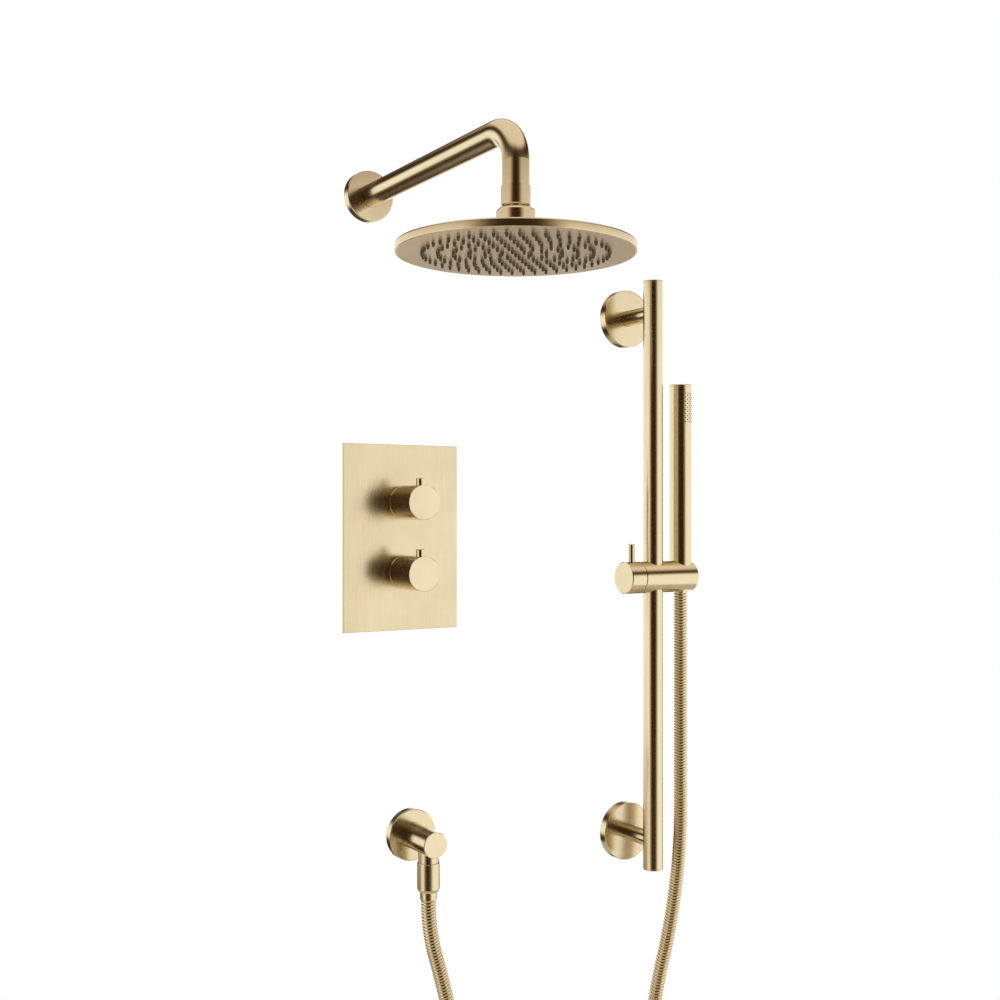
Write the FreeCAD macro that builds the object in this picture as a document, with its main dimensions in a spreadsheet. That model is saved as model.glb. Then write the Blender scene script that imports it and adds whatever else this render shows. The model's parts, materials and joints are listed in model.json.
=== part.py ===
import FreeCAD, Part
import math
import os
import Sketcher
from FreeCAD import Placement, Rotation, Vector

# Concealed shower set: overhead shower on a wall arm, two-handle concealed valve, slide rail with
# a pencil hand shower, wall outlet and hose. Millimetres, +Z up, +X right, +Y into the wall. The
# origin is the middle of the valve's cover plate, on the face of the finished wall.

doc = FreeCAD.newDocument("shower_set")
sheet = doc.addObject("Spreadsheet::Sheet", "sizes")


class Size:
    """A length with its number and the expression that ties it to the sheet."""

    def __init__(self, value, text):
        self.value = value
        self.text = text

    def __add__(self, other):
        return joined(self, "+", other)

    def __radd__(self, other):
        return joined(other, "+", self)

    def __sub__(self, other):
        return joined(self, "-", other)

    def __rsub__(self, other):
        return joined(other, "-", self)

    def __mul__(self, other):
        return joined(self, "*", other)

    def __rmul__(self, other):
        return joined(other, "*", self)

    def __truediv__(self, other):
        return joined(self, "/", other)

    def __neg__(self):
        return joined(0, "-", self)


def number(size):
    return size.value if isinstance(size, Size) else float(size)


def words(size):
    return size.text if isinstance(size, Size) else repr(size)


def joined(first, sign, second):
    """One size made from two by plain arithmetic, in number and in expression."""
    a, b = number(first), number(second)
    value = {"+": a + b, "-": a - b, "*": a * b, "/": a / b if sign == "/" else 0}[sign]
    return Size(value, f"({words(first)} {sign} {words(second)})")


def from_sheet(title, **cells):
    """Writes one named size a row, and returns them as Size objects in the same order."""
    row = from_sheet.row
    sheet.set(f"A{row}", title)
    made = []
    for alias, value in cells.items():
        row += 1
        sheet.set(f"A{row}", alias.replace("_", " "))
        sheet.set(f"B{row}", str(value))
        sheet.setAlias(f"B{row}", alias)
        made.append(Size(value, f"sizes.{alias}"))
    from_sheet.row = row + 2
    return made


from_sheet.row = 1

# ---- driving sizes

half_inch_radius, fit_gap, running_gap, edge = from_sheet(
    "Common",
    half_inch_radius=10.48,
    fit_gap=0.05,
    running_gap=0.06,
    edge_chamfer=0.8,
)
arm_x, arm_height, arm_reach, arm_radius, arm_wall, arm_bend, pipe_tail = from_sheet(
    "Wall arm",
    arm_x=-38,
    arm_height=346,
    arm_reach=283,
    arm_radius=11.25,
    arm_wall=1.5,
    arm_bend=30,
    pipe_tail=22,
)
flange_radius, flange_depth, cup_wall, waterway = from_sheet(
    "Cup roses and waterway",
    arm_flange_radius=25.5,
    arm_flange_depth=9,
    cup_wall=1.6,
    waterway_radius=7,
)
collar_radius, collar_length, collar_drop, neck_radius, ball_radius, liner_thick = from_sheet(
    "Ball joint on the arm",
    collar_radius=12.25,
    collar_length=16.9,
    collar_drop=51.4,
    neck_radius=7.5,
    ball_radius=11,
    liner_thick=2,
)
nut_wall, nut_gap, nut_mouth, nut_shoulder, nut_skirt, ball_drop = from_sheet(
    "Ball joint in the head",
    socket_nut_wall=1.95,
    socket_nut_gap=1.6,
    socket_nut_mouth=10.8,
    socket_nut_shoulder=2.4,
    socket_nut_skirt=7,
    ball_drop=13,
)
head_radius, head_thick, head_skin, head_rise, hub_wall, flange_ledge = from_sheet(
    "Overhead shower",
    head_radius=100,
    head_thick=7,
    head_skin=1.6,
    ball_above_head=17,
    hub_wall=1.08,
    hub_flange_ledge=4.8,
)
face_thick, face_rim, mat_thick, nozzle_radius, nozzle_gap, nozzle_out, ring_pitch = from_sheet(
    "Spray face",
    face_thick=1.8,
    face_rim=1.8,
    mat_thick=1.4,
    nozzle_radius=1.6,
    nozzle_gap=0.15,
    nozzle_out=3,
    nozzle_ring_pitch=12.9,
)
ring_number, ring_step, nozzle_taper = from_sheet(
    "Nozzle rings",
    nozzle_rings=6,
    nozzles_more_each_ring=8,
    nozzle_taper_angle=5.4,
)
plate_width, plate_height, plate_thick, plate_skin, seal_width, knob_spacing = from_sheet(
    "Cover plate",
    plate_width=131,
    plate_height=191,
    plate_thick=3.5,
    plate_skin=1.5,
    seal_width=7,
    knob_spacing=71.4,
)
knob_radius, knob_length, knob_front, knob_gap, knob_skirt, knob_solid = from_sheet(
    "Handles",
    knob_radius=17.5,
    knob_length=41.5,
    knob_front=53.5,
    knob_gap=1,
    knob_skirt_wall=2.5,
    knob_solid_end=17,
)
sleeve_bore, sleeve_tail, button_radius, button_out, button_back, button_room = from_sheet(
    "Sleeves and stop buttons",
    sleeve_bore=13.5,
    sleeve_tail_radius=15.5,
    button_radius=4.1,
    button_out=7,
    button_back=9.3,
    button_travel=2.5,
)
valve_width, valve_depth, valve_height, valve_back, chamber_radius, chamber_depth = from_sheet(
    "Concealed valve",
    valve_width=100,
    valve_depth=52,
    valve_height=134,
    valve_set_back=18,
    chamber_radius=16.6,
    chamber_depth=34,
)
port_radius, port_depth, check_radius, check_length, channel, spindle_radius = from_sheet(
    "Ports and spindles",
    port_radius=9.3,
    port_depth=14,
    check_valve_radius=8.5,
    check_valve_length=11,
    channel_radius=6,
    spindle_radius=4,
)
rail_x, rail_off, rail_radius, rail_wall, rail_top, rail_bottom, cap_thick = from_sheet(
    "Rail",
    rail_x=287.5,
    rail_off_wall=55.7,
    rail_radius=11,
    rail_wall=1.2,
    rail_top=284,
    rail_bottom=-372,
    rail_cap_thick=2,
)
upper_z, lower_z, post_radius, rosette_radius, rosette_depth, boss_radius = from_sheet(
    "Rail brackets",
    upper_bracket_z=248,
    lower_bracket_z=-340,
    post_radius=8.75,
    rosette_radius=32.5,
    rosette_depth=10,
    boss_radius=24,
)
spigot_radius, spigot_length, screw_radius, screw_length, plug_radius, plug_length = from_sheet(
    "Rail fixings",
    boss_spigot_radius=5.6,
    boss_spigot_length=20,
    wall_screw_radius=2.4,
    wall_screw_length=50,
    wall_plug_radius=4,
    wall_plug_length=40,
)
holder_z, holder_radius, holder_left, holder_right, clamp_length, clamp_gap = from_sheet(
    "Holder",
    holder_z=-46.3,
    holder_radius=17.5,
    holder_left=41,
    holder_right=52,
    clamp_length=19.5,
    clamp_gap=0.6,
)
lever_radius, lever_out, lever_in, bush_thick, bush_half, bolt_radius = from_sheet(
    "Clamp",
    lever_radius=3.5,
    lever_out=19.6,
    lever_from_end=10.8,
    bush_thick=0.5,
    bush_half_height=12.5,
    clamp_bolt_radius=4,
)
wand_off, wand_radius, wand_wall, wand_top, wand_low, cone_top, cone_low, cone_neck = from_sheet(
    "Hand shower",
    wand_from_rail=39.4,
    wand_radius=12.5,
    wand_wall=1.5,
    wand_above_holder=216.3,
    wand_seat=8,
    cone_nut_radius=12,
    cone_nut_low_radius=8.4,
    cone_nut_straight=11,
)
spray_radius, spray_rows, spray_pitch, spray_top, spray_columns, spray_step = from_sheet(
    "Hand shower spray",
    spray_hole_radius=0.7,
    spray_rows=15,
    spray_row_pitch=2.3,
    spray_below_top=10,
    spray_columns=4,
    spray_step_angle=24,
)
outlet_x, outlet_z, outlet_rose, outlet_rose_depth, outlet_radius, outlet_length = from_sheet(
    "Wall outlet",
    outlet_x=10.3,
    outlet_z=-307.2,
    outlet_rose_radius=26.5,
    outlet_rose_depth=8.6,
    outlet_radius=13,
    outlet_length=57.4,
)
drop_off, hose_nut_radius, hose_nut_top, hose_nut_length, ferrule_radius, ferrule_length = from_sheet(
    "Hose end at the outlet",
    drop_off_wall=42.2,
    hose_nut_radius=11.45,
    hose_nut_below=19.8,
    hose_nut_length=29.2,
    ferrule_radius=8.5,
    ferrule_length=8.1,
)
hose_radius, = from_sheet("Hose", hose_radius=7.5)
nipple_seat, ball_thread, outlet_seat, washer_bore, washer_thick, washer_gap = from_sheet(
    "Threads and washers",
    arm_nipple_seat=16,
    ball_thread_length=11,
    outlet_nipple_seat=13,
    washer_bore_radius=5,
    washer_thick=1.9,
    washer_gap=0.3,
)
post_screw, post_screw_length, post_head, post_head_thick, wall_head, thread_room = from_sheet(
    "Screws",
    post_screw_radius=3,
    post_screw_length=24,
    post_screw_head_radius=5,
    screw_head_thick=3,
    wall_screw_head_radius=4.2,
    thread_room=1.5,
)
lug_width, lug_thick, lug_bite, lug_hole = from_sheet(
    "Valve lugs",
    lug_width=22,
    lug_thick=5,
    lug_bite=4,
    lug_hole_radius=2.75,
)
doc.recompute()
past = 1  # how far a cutting tool runs past the face that it cuts
through = 60  # a cutting tool long enough for any piece that it goes right through
ease = 0.3  # the small flat on a turned edge

# ---- ways of making a piece

directions = {
    "up": Rotation(),
    "down": Rotation(Vector(1, 0, 0), 180),
    "room": Rotation(Vector(1, 0, 0), 90),
    "wall": Rotation(Vector(1, 0, 0), -90),
    "right": Rotation(Vector(0, 1, 0), 90),
    "left": Rotation(Vector(0, 1, 0), -90),
}
pieces = {}


def tie(thing, path, size):
    """Binds one property to the sheet, or sets it where the size is a plain number."""
    if isinstance(size, Size):
        thing.setExpression(path, size.text)
    elif path.startswith("Placement"):
        setattr(thing.Placement.Base, path[-1], float(size))
    else:
        setattr(thing, path, size)


def place(thing, at, way="up"):
    """Turns a piece so that its own Z axis points the given way, and puts it at a tied place."""
    turn = directions[way] if isinstance(way, str) else way
    thing.Placement = Placement(Vector(*[number(size) for size in at]), turn)
    for letter, size in zip("xyz", at):
        if isinstance(size, Size):
            tie(thing, f"Placement.Base.{letter}", size)
    return thing


def tied_point(sketch, line, x, y):
    """Ties the start of one line of a sketch to its distances from the sketch's axes."""
    for kind, axis, size in (("DistanceX", -2, x), ("DistanceY", -1, y)):
        if not isinstance(size, Size) and size == 0:
            sketch.addConstraint(Sketcher.Constraint("PointOnObject", line, 1, axis))
            continue
        sketch.addConstraint(Sketcher.Constraint(kind, -1, 1, line, 1, number(size)))
        if isinstance(size, Size):
            sketch.setExpression(f"Constraints[{sketch.ConstraintCount - 1}]", size.text)


def plane_of(body, role):
    return next(f for f in body.Origin.OriginFeatures if f.Role == role)


def new_sketch(body, role="XZ_Plane"):
    sketch = body.newObject("Sketcher::SketchObject", body.Name + "_outline")
    sketch.AttachmentSupport = [(plane_of(body, role), "")]
    sketch.MapMode = "FlatFace"
    return sketch


def turned(name, outline, at=(0, 0, 0), way="up"):
    """A body turned about its own Z axis from a closed outline of (radius, height) points."""
    body = doc.addObject("PartDesign::Body", name)
    sketch = new_sketch(body)
    points = [Vector(number(x), number(y), 0) for x, y in outline]
    count = len(points)
    for i in range(count):
        sketch.addGeometry(Part.LineSegment(points[i], points[(i + 1) % count]))
    for i in range(count):
        sketch.addConstraint(Sketcher.Constraint("Coincident", i, 2, (i + 1) % count, 1))
    for i, (x, y) in enumerate(outline):
        tied_point(sketch, i, x, y)
    spin = body.newObject("PartDesign::Revolution", name + "_spin")
    spin.Profile = sketch
    spin.ReferenceAxis = (sketch, ["V_Axis"])
    spin.Angle = 360
    return place(body, at, way)


def drum(name, radius, length, at=(0, 0, 0), way="up"):
    thing = doc.addObject("Part::Cylinder", name)
    tie(thing, "Radius", radius)
    tie(thing, "Height", length)
    return place(thing, at, way)


def globe(name, radius, at):
    thing = doc.addObject("Part::Sphere", name)
    tie(thing, "Radius", radius)
    return place(thing, at)


def block(name, length, width, height, at):
    thing = doc.addObject("Part::Box", name)
    for path, size in (("Length", length), ("Width", width), ("Height", height)):
        tie(thing, path, size)
    return place(thing, at)


def without(name, base, *tools):
    """The base with every tool cut out of it."""
    thing = doc.addObject("Part::Cut", name)
    thing.Base = base
    thing.Tool = tools[0] if len(tools) == 1 else together(name + "_tools", *tools)
    return thing


def together(name, *parts):
    thing = doc.addObject("Part::MultiFuse", name)
    thing.Shapes = list(parts)
    return thing


def shared(name, *parts):
    thing = doc.addObject("Part::MultiCommon", name)
    thing.Shapes = list(parts)
    return thing


def side_by_side(name, *parts):
    """Separate solids kept in one node."""
    thing = doc.addObject("Part::Compound", name)
    thing.Links = list(parts)
    return thing


def keep(name, thing):
    thing.Label = name
    pieces[name] = thing
    return thing


def cup(name, radius, depth, hole, at, way="room"):
    """A hollow round rose with an eased front edge and a hole for what passes through it."""
    outline = [
        (radius - cup_wall, 0),
        (radius, 0),
        (radius, depth - edge),
        (radius - edge, depth),
        (hole, depth),
        (hole, depth - cup_wall),
        (radius - cup_wall, depth - cup_wall),
    ]
    return turned(name, outline, at, way)


def nipple(name, inner, inner_length, outer, outer_length, bore, at, way):
    """A stepped tail piece: one end sits in a tube, the other carries the pipe thread."""
    total = inner_length + outer_length
    outline = [(bore, 0), (outer - edge, 0), (outer, edge), (outer, outer_length)]
    outline += [(inner, outer_length), (inner, total), (bore, total)]
    return turned(name, outline, at, way)


# ---- wall arm

arm_out = arm_reach - arm_bend
arm_end_z = arm_height - collar_drop
arm_leg = collar_drop - arm_bend
arm_bore = arm_radius - arm_wall


def bent_bar(name, radius):
    """The arm's run out of the wall, its quarter bend and its leg, as one solid bar."""
    run = drum(name + "_run", radius, arm_out, (arm_x, 0, arm_height), "room")
    leg = drum(name + "_leg", radius, arm_leg, (arm_x, -arm_reach, arm_end_z))
    bend = doc.addObject("Part::Torus", name + "_bend")
    tie(bend, "Radius1", arm_bend)
    tie(bend, "Radius2", radius)
    bend.Angle3 = 90
    quarter = Rotation(Vector(0, -1, 0), Vector(0, 0, 1), Vector(-1, 0, 0), "XYZ")
    place(bend, (arm_x, -arm_out, arm_height - arm_bend), quarter)
    return together(name, run, bend, leg)


arm_skin = bent_bar("arm_skin", arm_radius)
arm_core = bent_bar("arm_core", arm_bore)
keep("arm_tube", without("arm_tube", arm_skin, arm_core))
keep(
    "arm_flange",
    cup("arm_flange", flange_radius, flange_depth, arm_radius + fit_gap, (arm_x, 0, arm_height)),
)
keep(
    "arm_inlet_nipple",
    nipple(
        "arm_inlet_nipple",
        arm_bore - fit_gap,
        nipple_seat,
        half_inch_radius,
        pipe_tail,
        waterway,
        (arm_x, pipe_tail, arm_height),
        "room",
    ),
)
keep(
    "arm_outlet_nipple",
    nipple(
        "arm_outlet_nipple",
        arm_bore - fit_gap,
        nipple_seat - 2,
        half_inch_radius,
        ball_thread,
        waterway,
        (arm_x, -arm_reach, arm_end_z - ball_thread),
        "up",
    ),
)

# ---- ball joint between the arm and the overhead shower

ball_z = arm_end_z - collar_length - nut_gap - ball_drop
ball_at = (arm_x, -arm_reach, ball_z)
collar_low = nut_gap + ball_drop
collar_high = collar_low + collar_length
liner_radius = ball_radius + running_gap
shell_radius = liner_radius + liner_thick
cup_radius = shell_radius + running_gap
hub_radius = cup_radius + hub_wall
hub_flange = hub_radius + flange_ledge
nut_radius = hub_radius + fit_gap + nut_wall
nipple_bore = half_inch_radius + fit_gap
thread_end = arm_end_z - ball_thread
stem_ease = 1.2

stem = turned(
    "ball_stem",
    [
        (0, 0),
        (neck_radius, 0),
        (neck_radius, collar_low),
        (collar_radius - stem_ease, collar_low),
        (collar_radius, collar_low + stem_ease),
        (collar_radius, collar_high),
        (0, collar_high),
    ],
    ball_at,
)
socket_bore = drum("ball_thread", nipple_bore, through, (arm_x, -arm_reach, thread_end - 2))
stem_bore = drum("ball_waterway", neck_radius - 3, through, (arm_x, -arm_reach, ball_z - 15))
ball = globe("ball", ball_radius, ball_at)
keep("ball_connector", without("ball_connector", together("ball_solid", stem, ball), socket_bore, stem_bore))
strainer_hole = 2.5
strainer_rim = nipple_bore - 0.4
strainer_thick = washer_thick - 0.1
strainer_outline = [
    (strainer_hole, 0),
    (strainer_rim, 0),
    (strainer_rim, strainer_thick),
    (strainer_hole, strainer_thick),
]
strainer_at = (arm_x, -arm_reach, thread_end - washer_thick)
keep("strainer_washer", turned("strainer_washer", strainer_outline, strainer_at))


def ring_zone(name, low, high):
    """A band of the hollow sphere between the ball and its housing."""
    outside = globe(name + "_out", shell_radius, ball_at)
    inside = globe(name + "_in", liner_radius, ball_at)
    skin = without(name + "_skin", outside, inside)
    band = drum(name + "_band", nut_radius, high - low, (arm_x, -arm_reach, ball_z + low))
    return shared(name, skin, band)


keep("ball_liner", ring_zone("ball_liner", 0.6, 6.4))
keep("ball_seat", ring_zone("ball_seat", -9, -3.2))

nut_low = nut_skirt
nut_profile = turned(
    "socket_nut_skin",
    [
        (0, 0),
        (nut_radius - 0.6, 0),
        (nut_radius, 0.6),
        (nut_radius, nut_low + ball_drop - nut_shoulder),
        (nut_radius - 0.75, nut_low + ball_drop - nut_shoulder / 2),
        (nut_radius - nut_shoulder, nut_low + ball_drop),
        (0, nut_low + ball_drop),
    ],
    (arm_x, -arm_reach, ball_z - nut_low),
)
nut_mouth_tool = turned(
    "socket_nut_mouth_tool",
    [
        (0, 0),
        (nut_mouth, 0),
        (nut_mouth, ball_drop - 1.2),
        (nut_mouth + 1.4, ball_drop + 0.2),
        (0, ball_drop + 0.2),
    ],
    ball_at,
)
nut_thread = drum(
    "socket_nut_thread", hub_radius + fit_gap, nut_low + 0.2, (arm_x, -arm_reach, ball_z - nut_low - 0.2)
)
keep(
    "socket_nut",
    without(
        "socket_nut", nut_profile, globe("socket_nut_seat", cup_radius, ball_at), nut_mouth_tool, nut_thread
    ),
)

# ---- overhead shower

head_top = ball_z - head_rise
head_at = (arm_x, -arm_reach, head_top - head_thick)
hub_at = (arm_x, -arm_reach, head_top)
hub_skin = turned(
    "head_hub_skin",
    [
        (0, 0),
        (hub_flange - 0.6, 0),
        (hub_flange, 0.6),
        (hub_flange, 2.4),
        (hub_radius + 1.6, 3.6),
        (hub_radius + 1.6, head_rise - nut_skirt - 1.2),
        (hub_radius, head_rise - nut_skirt - 1.2),
        (hub_radius, head_rise - 0.3),
        (0, head_rise - 0.3),
    ],
    hub_at,
)
hub_way = drum("head_hub_way", neck_radius - 2.5, 20, (arm_x, -arm_reach, head_top - 1))
keep("head_hub", without("head_hub", hub_skin, globe("head_hub_seat", cup_radius, ball_at), hub_way))

shell_hole = hub_radius - 6
rim_ease = 0.5
shoulder_ease = 1
shell_outline = [
    (shell_hole, head_thick - head_skin),
    (head_radius - face_rim, head_thick - head_skin),
    (head_radius - face_rim, 0),
    (head_radius - rim_ease, 0),
    (head_radius, rim_ease),
    (head_radius, head_thick - shoulder_ease),
    (head_radius - shoulder_ease, head_thick),
    (shell_hole, head_thick),
]
keep("head_shell", turned("head_shell", shell_outline, head_at))


def nozzle_rings(body, radius, depth, taper=0, into=False):
    """Adds one round feature a ring and repeats it round the body's own Z axis."""
    for ring in range(int(ring_number.value) + 1):
        sketch = body.newObject("Sketcher::SketchObject", f"{body.Name}_ring_{ring}")
        sketch.AttachmentSupport = [(plane_of(body, "XY_Plane"), "")]
        sketch.MapMode = "FlatFace"
        out = ring_pitch * ring
        sketch.addGeometry(Part.Circle(Vector(out.value, 0, 0), Vector(0, 0, 1), number(radius)))
        sketch.addConstraint(Sketcher.Constraint("PointOnObject", 0, 3, -1))
        if ring == 0:
            sketch.addConstraint(Sketcher.Constraint("PointOnObject", 0, 3, -2))
        else:
            sketch.addConstraint(Sketcher.Constraint("DistanceX", -1, 1, 0, 3, out.value))
            sketch.setExpression(f"Constraints[{sketch.ConstraintCount - 1}]", out.text)
        sketch.addConstraint(Sketcher.Constraint("Radius", 0, number(radius)))
        sketch.setExpression(f"Constraints[{sketch.ConstraintCount - 1}]", words(radius))
        kind = "PartDesign::Pocket" if into else "PartDesign::Pad"
        feature = body.newObject(kind, f"{body.Name}_nozzle_{ring}")
        feature.Profile = sketch
        tie(feature, "Length", depth)
        tie(feature, "TaperAngle", taper)
        feature.Reversed = True
        if ring > 0:
            pattern = body.newObject("PartDesign::PolarPattern", f"{body.Name}_round_{ring}")
            pattern.Originals = [feature]
            pattern.Axis = (plane_of(body, "Z_Axis"), [""])
            pattern.Angle = 360
            tie(pattern, "Occurrences", ring * ring_step)
            body.Tip = pattern


face_radius = head_radius - face_rim - fit_gap
face_plate = turned(
    "head_face_plate", [(0, 0), (face_radius, 0), (face_radius, face_thick), (0, face_thick)], head_at
)
nozzle_rings(face_plate, nozzle_radius + nozzle_gap, face_thick + past, into=True)
keep("head_face_plate", face_plate)

mat_outline = [(0, 0), (face_radius - 1, 0), (face_radius - 1, mat_thick), (0, mat_thick)]
mat = turned("nozzle_mat", mat_outline, (arm_x, -arm_reach, head_top - head_thick + face_thick))
nozzle_rings(mat, nozzle_radius, face_thick + nozzle_out, taper=-nozzle_taper)
keep("nozzle_mat", mat)

# ---- cover plate and its seal

plate_low = (-(plate_width / 2), -plate_thick, -(plate_height / 2))
plate_solid = block("plate_solid", plate_width, plate_thick, plate_height, plate_low)
pocket_low = (
    -(plate_width / 2) + plate_skin,
    plate_skin - plate_thick,
    -(plate_height / 2) + plate_skin,
)
plate_pocket = block(
    "plate_pocket",
    plate_width - 2 * plate_skin,
    plate_thick,
    plate_height - 2 * plate_skin,
    pocket_low,
)
knob_heights = {"flow": knob_spacing / 2, "temperature": -(knob_spacing / 2)}
plate_holes = [
    drum(f"plate_hole_{name}", sleeve_tail + 0.2, through, (0, through / 2, height), "room")
    for name, height in knob_heights.items()
]
keep("cover_plate", without("cover_plate", plate_solid, plate_pocket, *plate_holes))

seal_room = plate_skin + fit_gap
seal_outer = block(
    "seal_outer",
    plate_width - 2 * seal_room,
    plate_thick - plate_skin,
    plate_height - 2 * seal_room,
    (-(plate_width / 2) + seal_room, plate_skin - plate_thick, -(plate_height / 2) + seal_room),
)
seal_edge = seal_room + seal_width
seal_inner = block(
    "seal_inner",
    plate_width - 2 * seal_edge,
    plate_thick * 3,
    plate_height - 2 * seal_edge,
    (-(plate_width / 2) + seal_edge, -(plate_thick * 2), -(plate_height / 2) + seal_edge),
)
keep("plate_seal", without("plate_seal", seal_outer, seal_inner))

# ---- concealed valve

valve_front = valve_back
valve_low = (-(valve_width / 2), valve_front, -(valve_height / 2))
casting = block("valve_casting", valve_width, valve_depth, valve_height, valve_low)
nose_radius = chamber_radius + 4
noses = [
    drum(f"valve_nose_{name}", nose_radius, 8, (0, valve_front + 2, height), "room")
    for name, height in knob_heights.items()
]
chambers = [
    drum(f"valve_chamber_{name}", chamber_radius, chamber_depth + 8, (0, valve_front - 8, height), "wall")
    for name, height in knob_heights.items()
]
inlet_y = valve_front + chamber_depth - 10
side = valve_width / 2
ports = []
for name, way, sign in (("hot", "right", -1), ("cold", "left", 1)):
    at = (sign * side, inlet_y, knob_heights["temperature"])
    ports.append(drum(f"{name}_port", port_radius, port_depth, at, way))
    ports.append(drum(f"{name}_check_seat", check_radius + fit_gap, port_depth + check_length, at, way))
    ports.append(drum(f"{name}_channel", channel, side, at, way))
back_y = valve_front + valve_depth - channel - 6
ports += [
    drum("mixed_channel", channel, knob_spacing, (0, inlet_y, knob_heights["temperature"])),
    drum("arm_channel", channel, valve_height / 2, (0, inlet_y, knob_heights["flow"])),
    drum("arm_port", port_radius, port_depth, (0, inlet_y, valve_height / 2), "down"),
    drum("hose_link", channel, 14, (0, valve_front + chamber_depth - 2, knob_heights["flow"]), "wall"),
    drum("hose_channel", channel - 1, valve_height / 2 + knob_spacing / 2, (0, back_y, -(valve_height / 2))),
    drum("hose_port", port_radius, port_depth, (0, back_y, -(valve_height / 2)), "up"),
]
lug_back = valve_front + valve_depth - lug_thick
lugs = [
    block(f"valve_lug_{i}", lug_width, lug_thick, lug_width, (corner, lug_back, -(lug_width / 2)))
    for i, corner in enumerate((lug_bite - side - lug_width, side - lug_bite))
]
lug_middle = side + (lug_width - lug_bite) / 2
lug_holes = [
    drum(f"valve_lug_hole_{i}", lug_hole, lug_thick + 2 * past, (middle, lug_back - past, 0), "wall")
    for i, middle in enumerate((-lug_middle, lug_middle))
]
valve_solid = together("valve_solid", casting, *noses, *lugs)
keep("valve_body", without("valve_body", valve_solid, *chambers, *ports, *lug_holes))

check_hole = 3.5
check_valves = []
for name, way, sign in (("hot", "right", -1), ("cold", "left", 1)):
    check_outline = [
        (check_hole, 0),
        (check_radius, 0),
        (check_radius, check_length - 1),
        (check_radius - 1, check_length),
        (check_hole, check_length),
    ]
    at = (sign * (side - port_depth), inlet_y, knob_heights["temperature"])
    check_valves.append(turned(f"{name}_check_valve", check_outline, at, way))
keep("inlet_check_valves", side_by_side("inlet_check_valves", *check_valves))

# ---- handles, sleeves, spindles and cartridges, the same for both controls

sleeve_front = knob_front - knob_length - knob_gap
sleeve_in = 9.5
insert_length = 14
cartridge_neck = 9
neck_length = 14
spindle_end = knob_front - knob_solid - 2
insert_radius = knob_radius - knob_skirt - fit_gap
button_y = -(knob_front - button_back)
button_low = 8.5
spring_low = button_low - button_room - 1.5

sleeves = []
cartridge_nuts = []
for name, height in knob_heights.items():
    sleeve_outline = [
        (sleeve_bore, 0),
        (sleeve_tail, 0),
        (sleeve_tail, plate_thick + sleeve_in),
        (knob_radius, plate_thick + sleeve_in),
        (knob_radius, sleeve_front + sleeve_in - ease),
        (knob_radius - ease, sleeve_front + sleeve_in),
        (sleeve_bore, sleeve_front + sleeve_in),
    ]
    sleeves.append(turned(f"{name}_sleeve", sleeve_outline, (0, sleeve_in, height), "room"))

    knob_skin = turned(
        f"{name}_knob_skin",
        [
            (0, knob_length - knob_solid),
            (knob_radius - knob_skirt, knob_length - knob_solid),
            (knob_radius - knob_skirt, 0),
            (knob_radius - ease, 0),
            (knob_radius, ease),
            (knob_radius, knob_length - 0.4),
            (knob_radius - 0.4, knob_length),
            (0, knob_length),
        ],
        (0, -(knob_front - knob_length), height),
        "room",
    )
    button_hole = drum(
        f"{name}_button_hole",
        button_radius + running_gap,
        knob_radius + 5,
        (0, button_y, height + spring_low),
    )
    keep(f"{name}_knob", without(f"{name}_knob", knob_skin, button_hole))

    button_height = knob_radius + button_out - button_low
    button_outline = [
        (0, 0),
        (button_radius, 0),
        (button_radius, button_height - 0.4),
        (button_radius - 0.4, button_height),
        (0, button_height),
    ]
    keep(
        f"{name}_stop_button",
        turned(f"{name}_stop_button", button_outline, (0, button_y, height + button_low)),
    )

    insert_outline = [
        (spindle_radius + fit_gap, 0),
        (insert_radius, 0),
        (insert_radius, insert_length),
        (spindle_radius + fit_gap, insert_length),
    ]
    insert_back = -(knob_front - knob_solid - insert_length)
    keep(
        f"{name}_knob_insert",
        turned(f"{name}_knob_insert", insert_outline, (0, insert_back, height), "room"),
    )
    spindle_root = valve_front + 6
    spindle_at = (0, spindle_root, height)
    spindle_length = spindle_root + spindle_end
    keep(f"{name}_spindle", drum(f"{name}_spindle", spindle_radius, spindle_length, spindle_at, "room"))

    cartridge_low = chamber_depth - 1
    cartridge_outline = [
        (0, 0),
        (chamber_radius - fit_gap, 0),
        (chamber_radius - fit_gap, cartridge_low),
        (cartridge_neck, cartridge_low),
        (cartridge_neck, cartridge_low + neck_length),
        (spindle_radius + running_gap, cartridge_low + neck_length),
        (spindle_radius + running_gap, chamber_depth - 7),
        (0, chamber_depth - 7),
    ]
    cartridge_at = (0, valve_front + chamber_depth, height)
    keep(f"{name}_cartridge", turned(f"{name}_cartridge", cartridge_outline, cartridge_at, "room"))

    nut_outline = [
        (cartridge_neck + fit_gap, 0),
        (chamber_radius - fit_gap, 0),
        (chamber_radius - fit_gap, 6),
        (13, 6),
        (13, 11),
        (cartridge_neck + fit_gap, 11),
    ]
    cartridge_nuts.append(
        turned(f"{name}_cartridge_nut", nut_outline, (0, valve_front + 1, height), "room")
    )
keep("control_sleeves", side_by_side("control_sleeves", *sleeves))
keep("cartridge_nuts", side_by_side("cartridge_nuts", *cartridge_nuts))


def coil_spring(name, wire, radius, length, turns, at):
    """A round-wire compression spring standing on its own Z axis, swept along a helix."""
    path = doc.addObject("Part::Helix", name + "_path")
    path.Pitch = length / turns
    path.Height = length
    path.Radius = radius
    section = doc.addObject("Part::Circle", name + "_wire")
    section.Radius = wire
    section.Placement = Placement(Vector(radius, 0, 0), Rotation(Vector(1, 0, 0), 90))
    sweep = doc.addObject("Part::Sweep", name)
    sweep.Sections = [section]
    sweep.Spine = (path, ["Edge1"])
    sweep.Solid = True
    sweep.Frenet = True
    return place(sweep, at)


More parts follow.
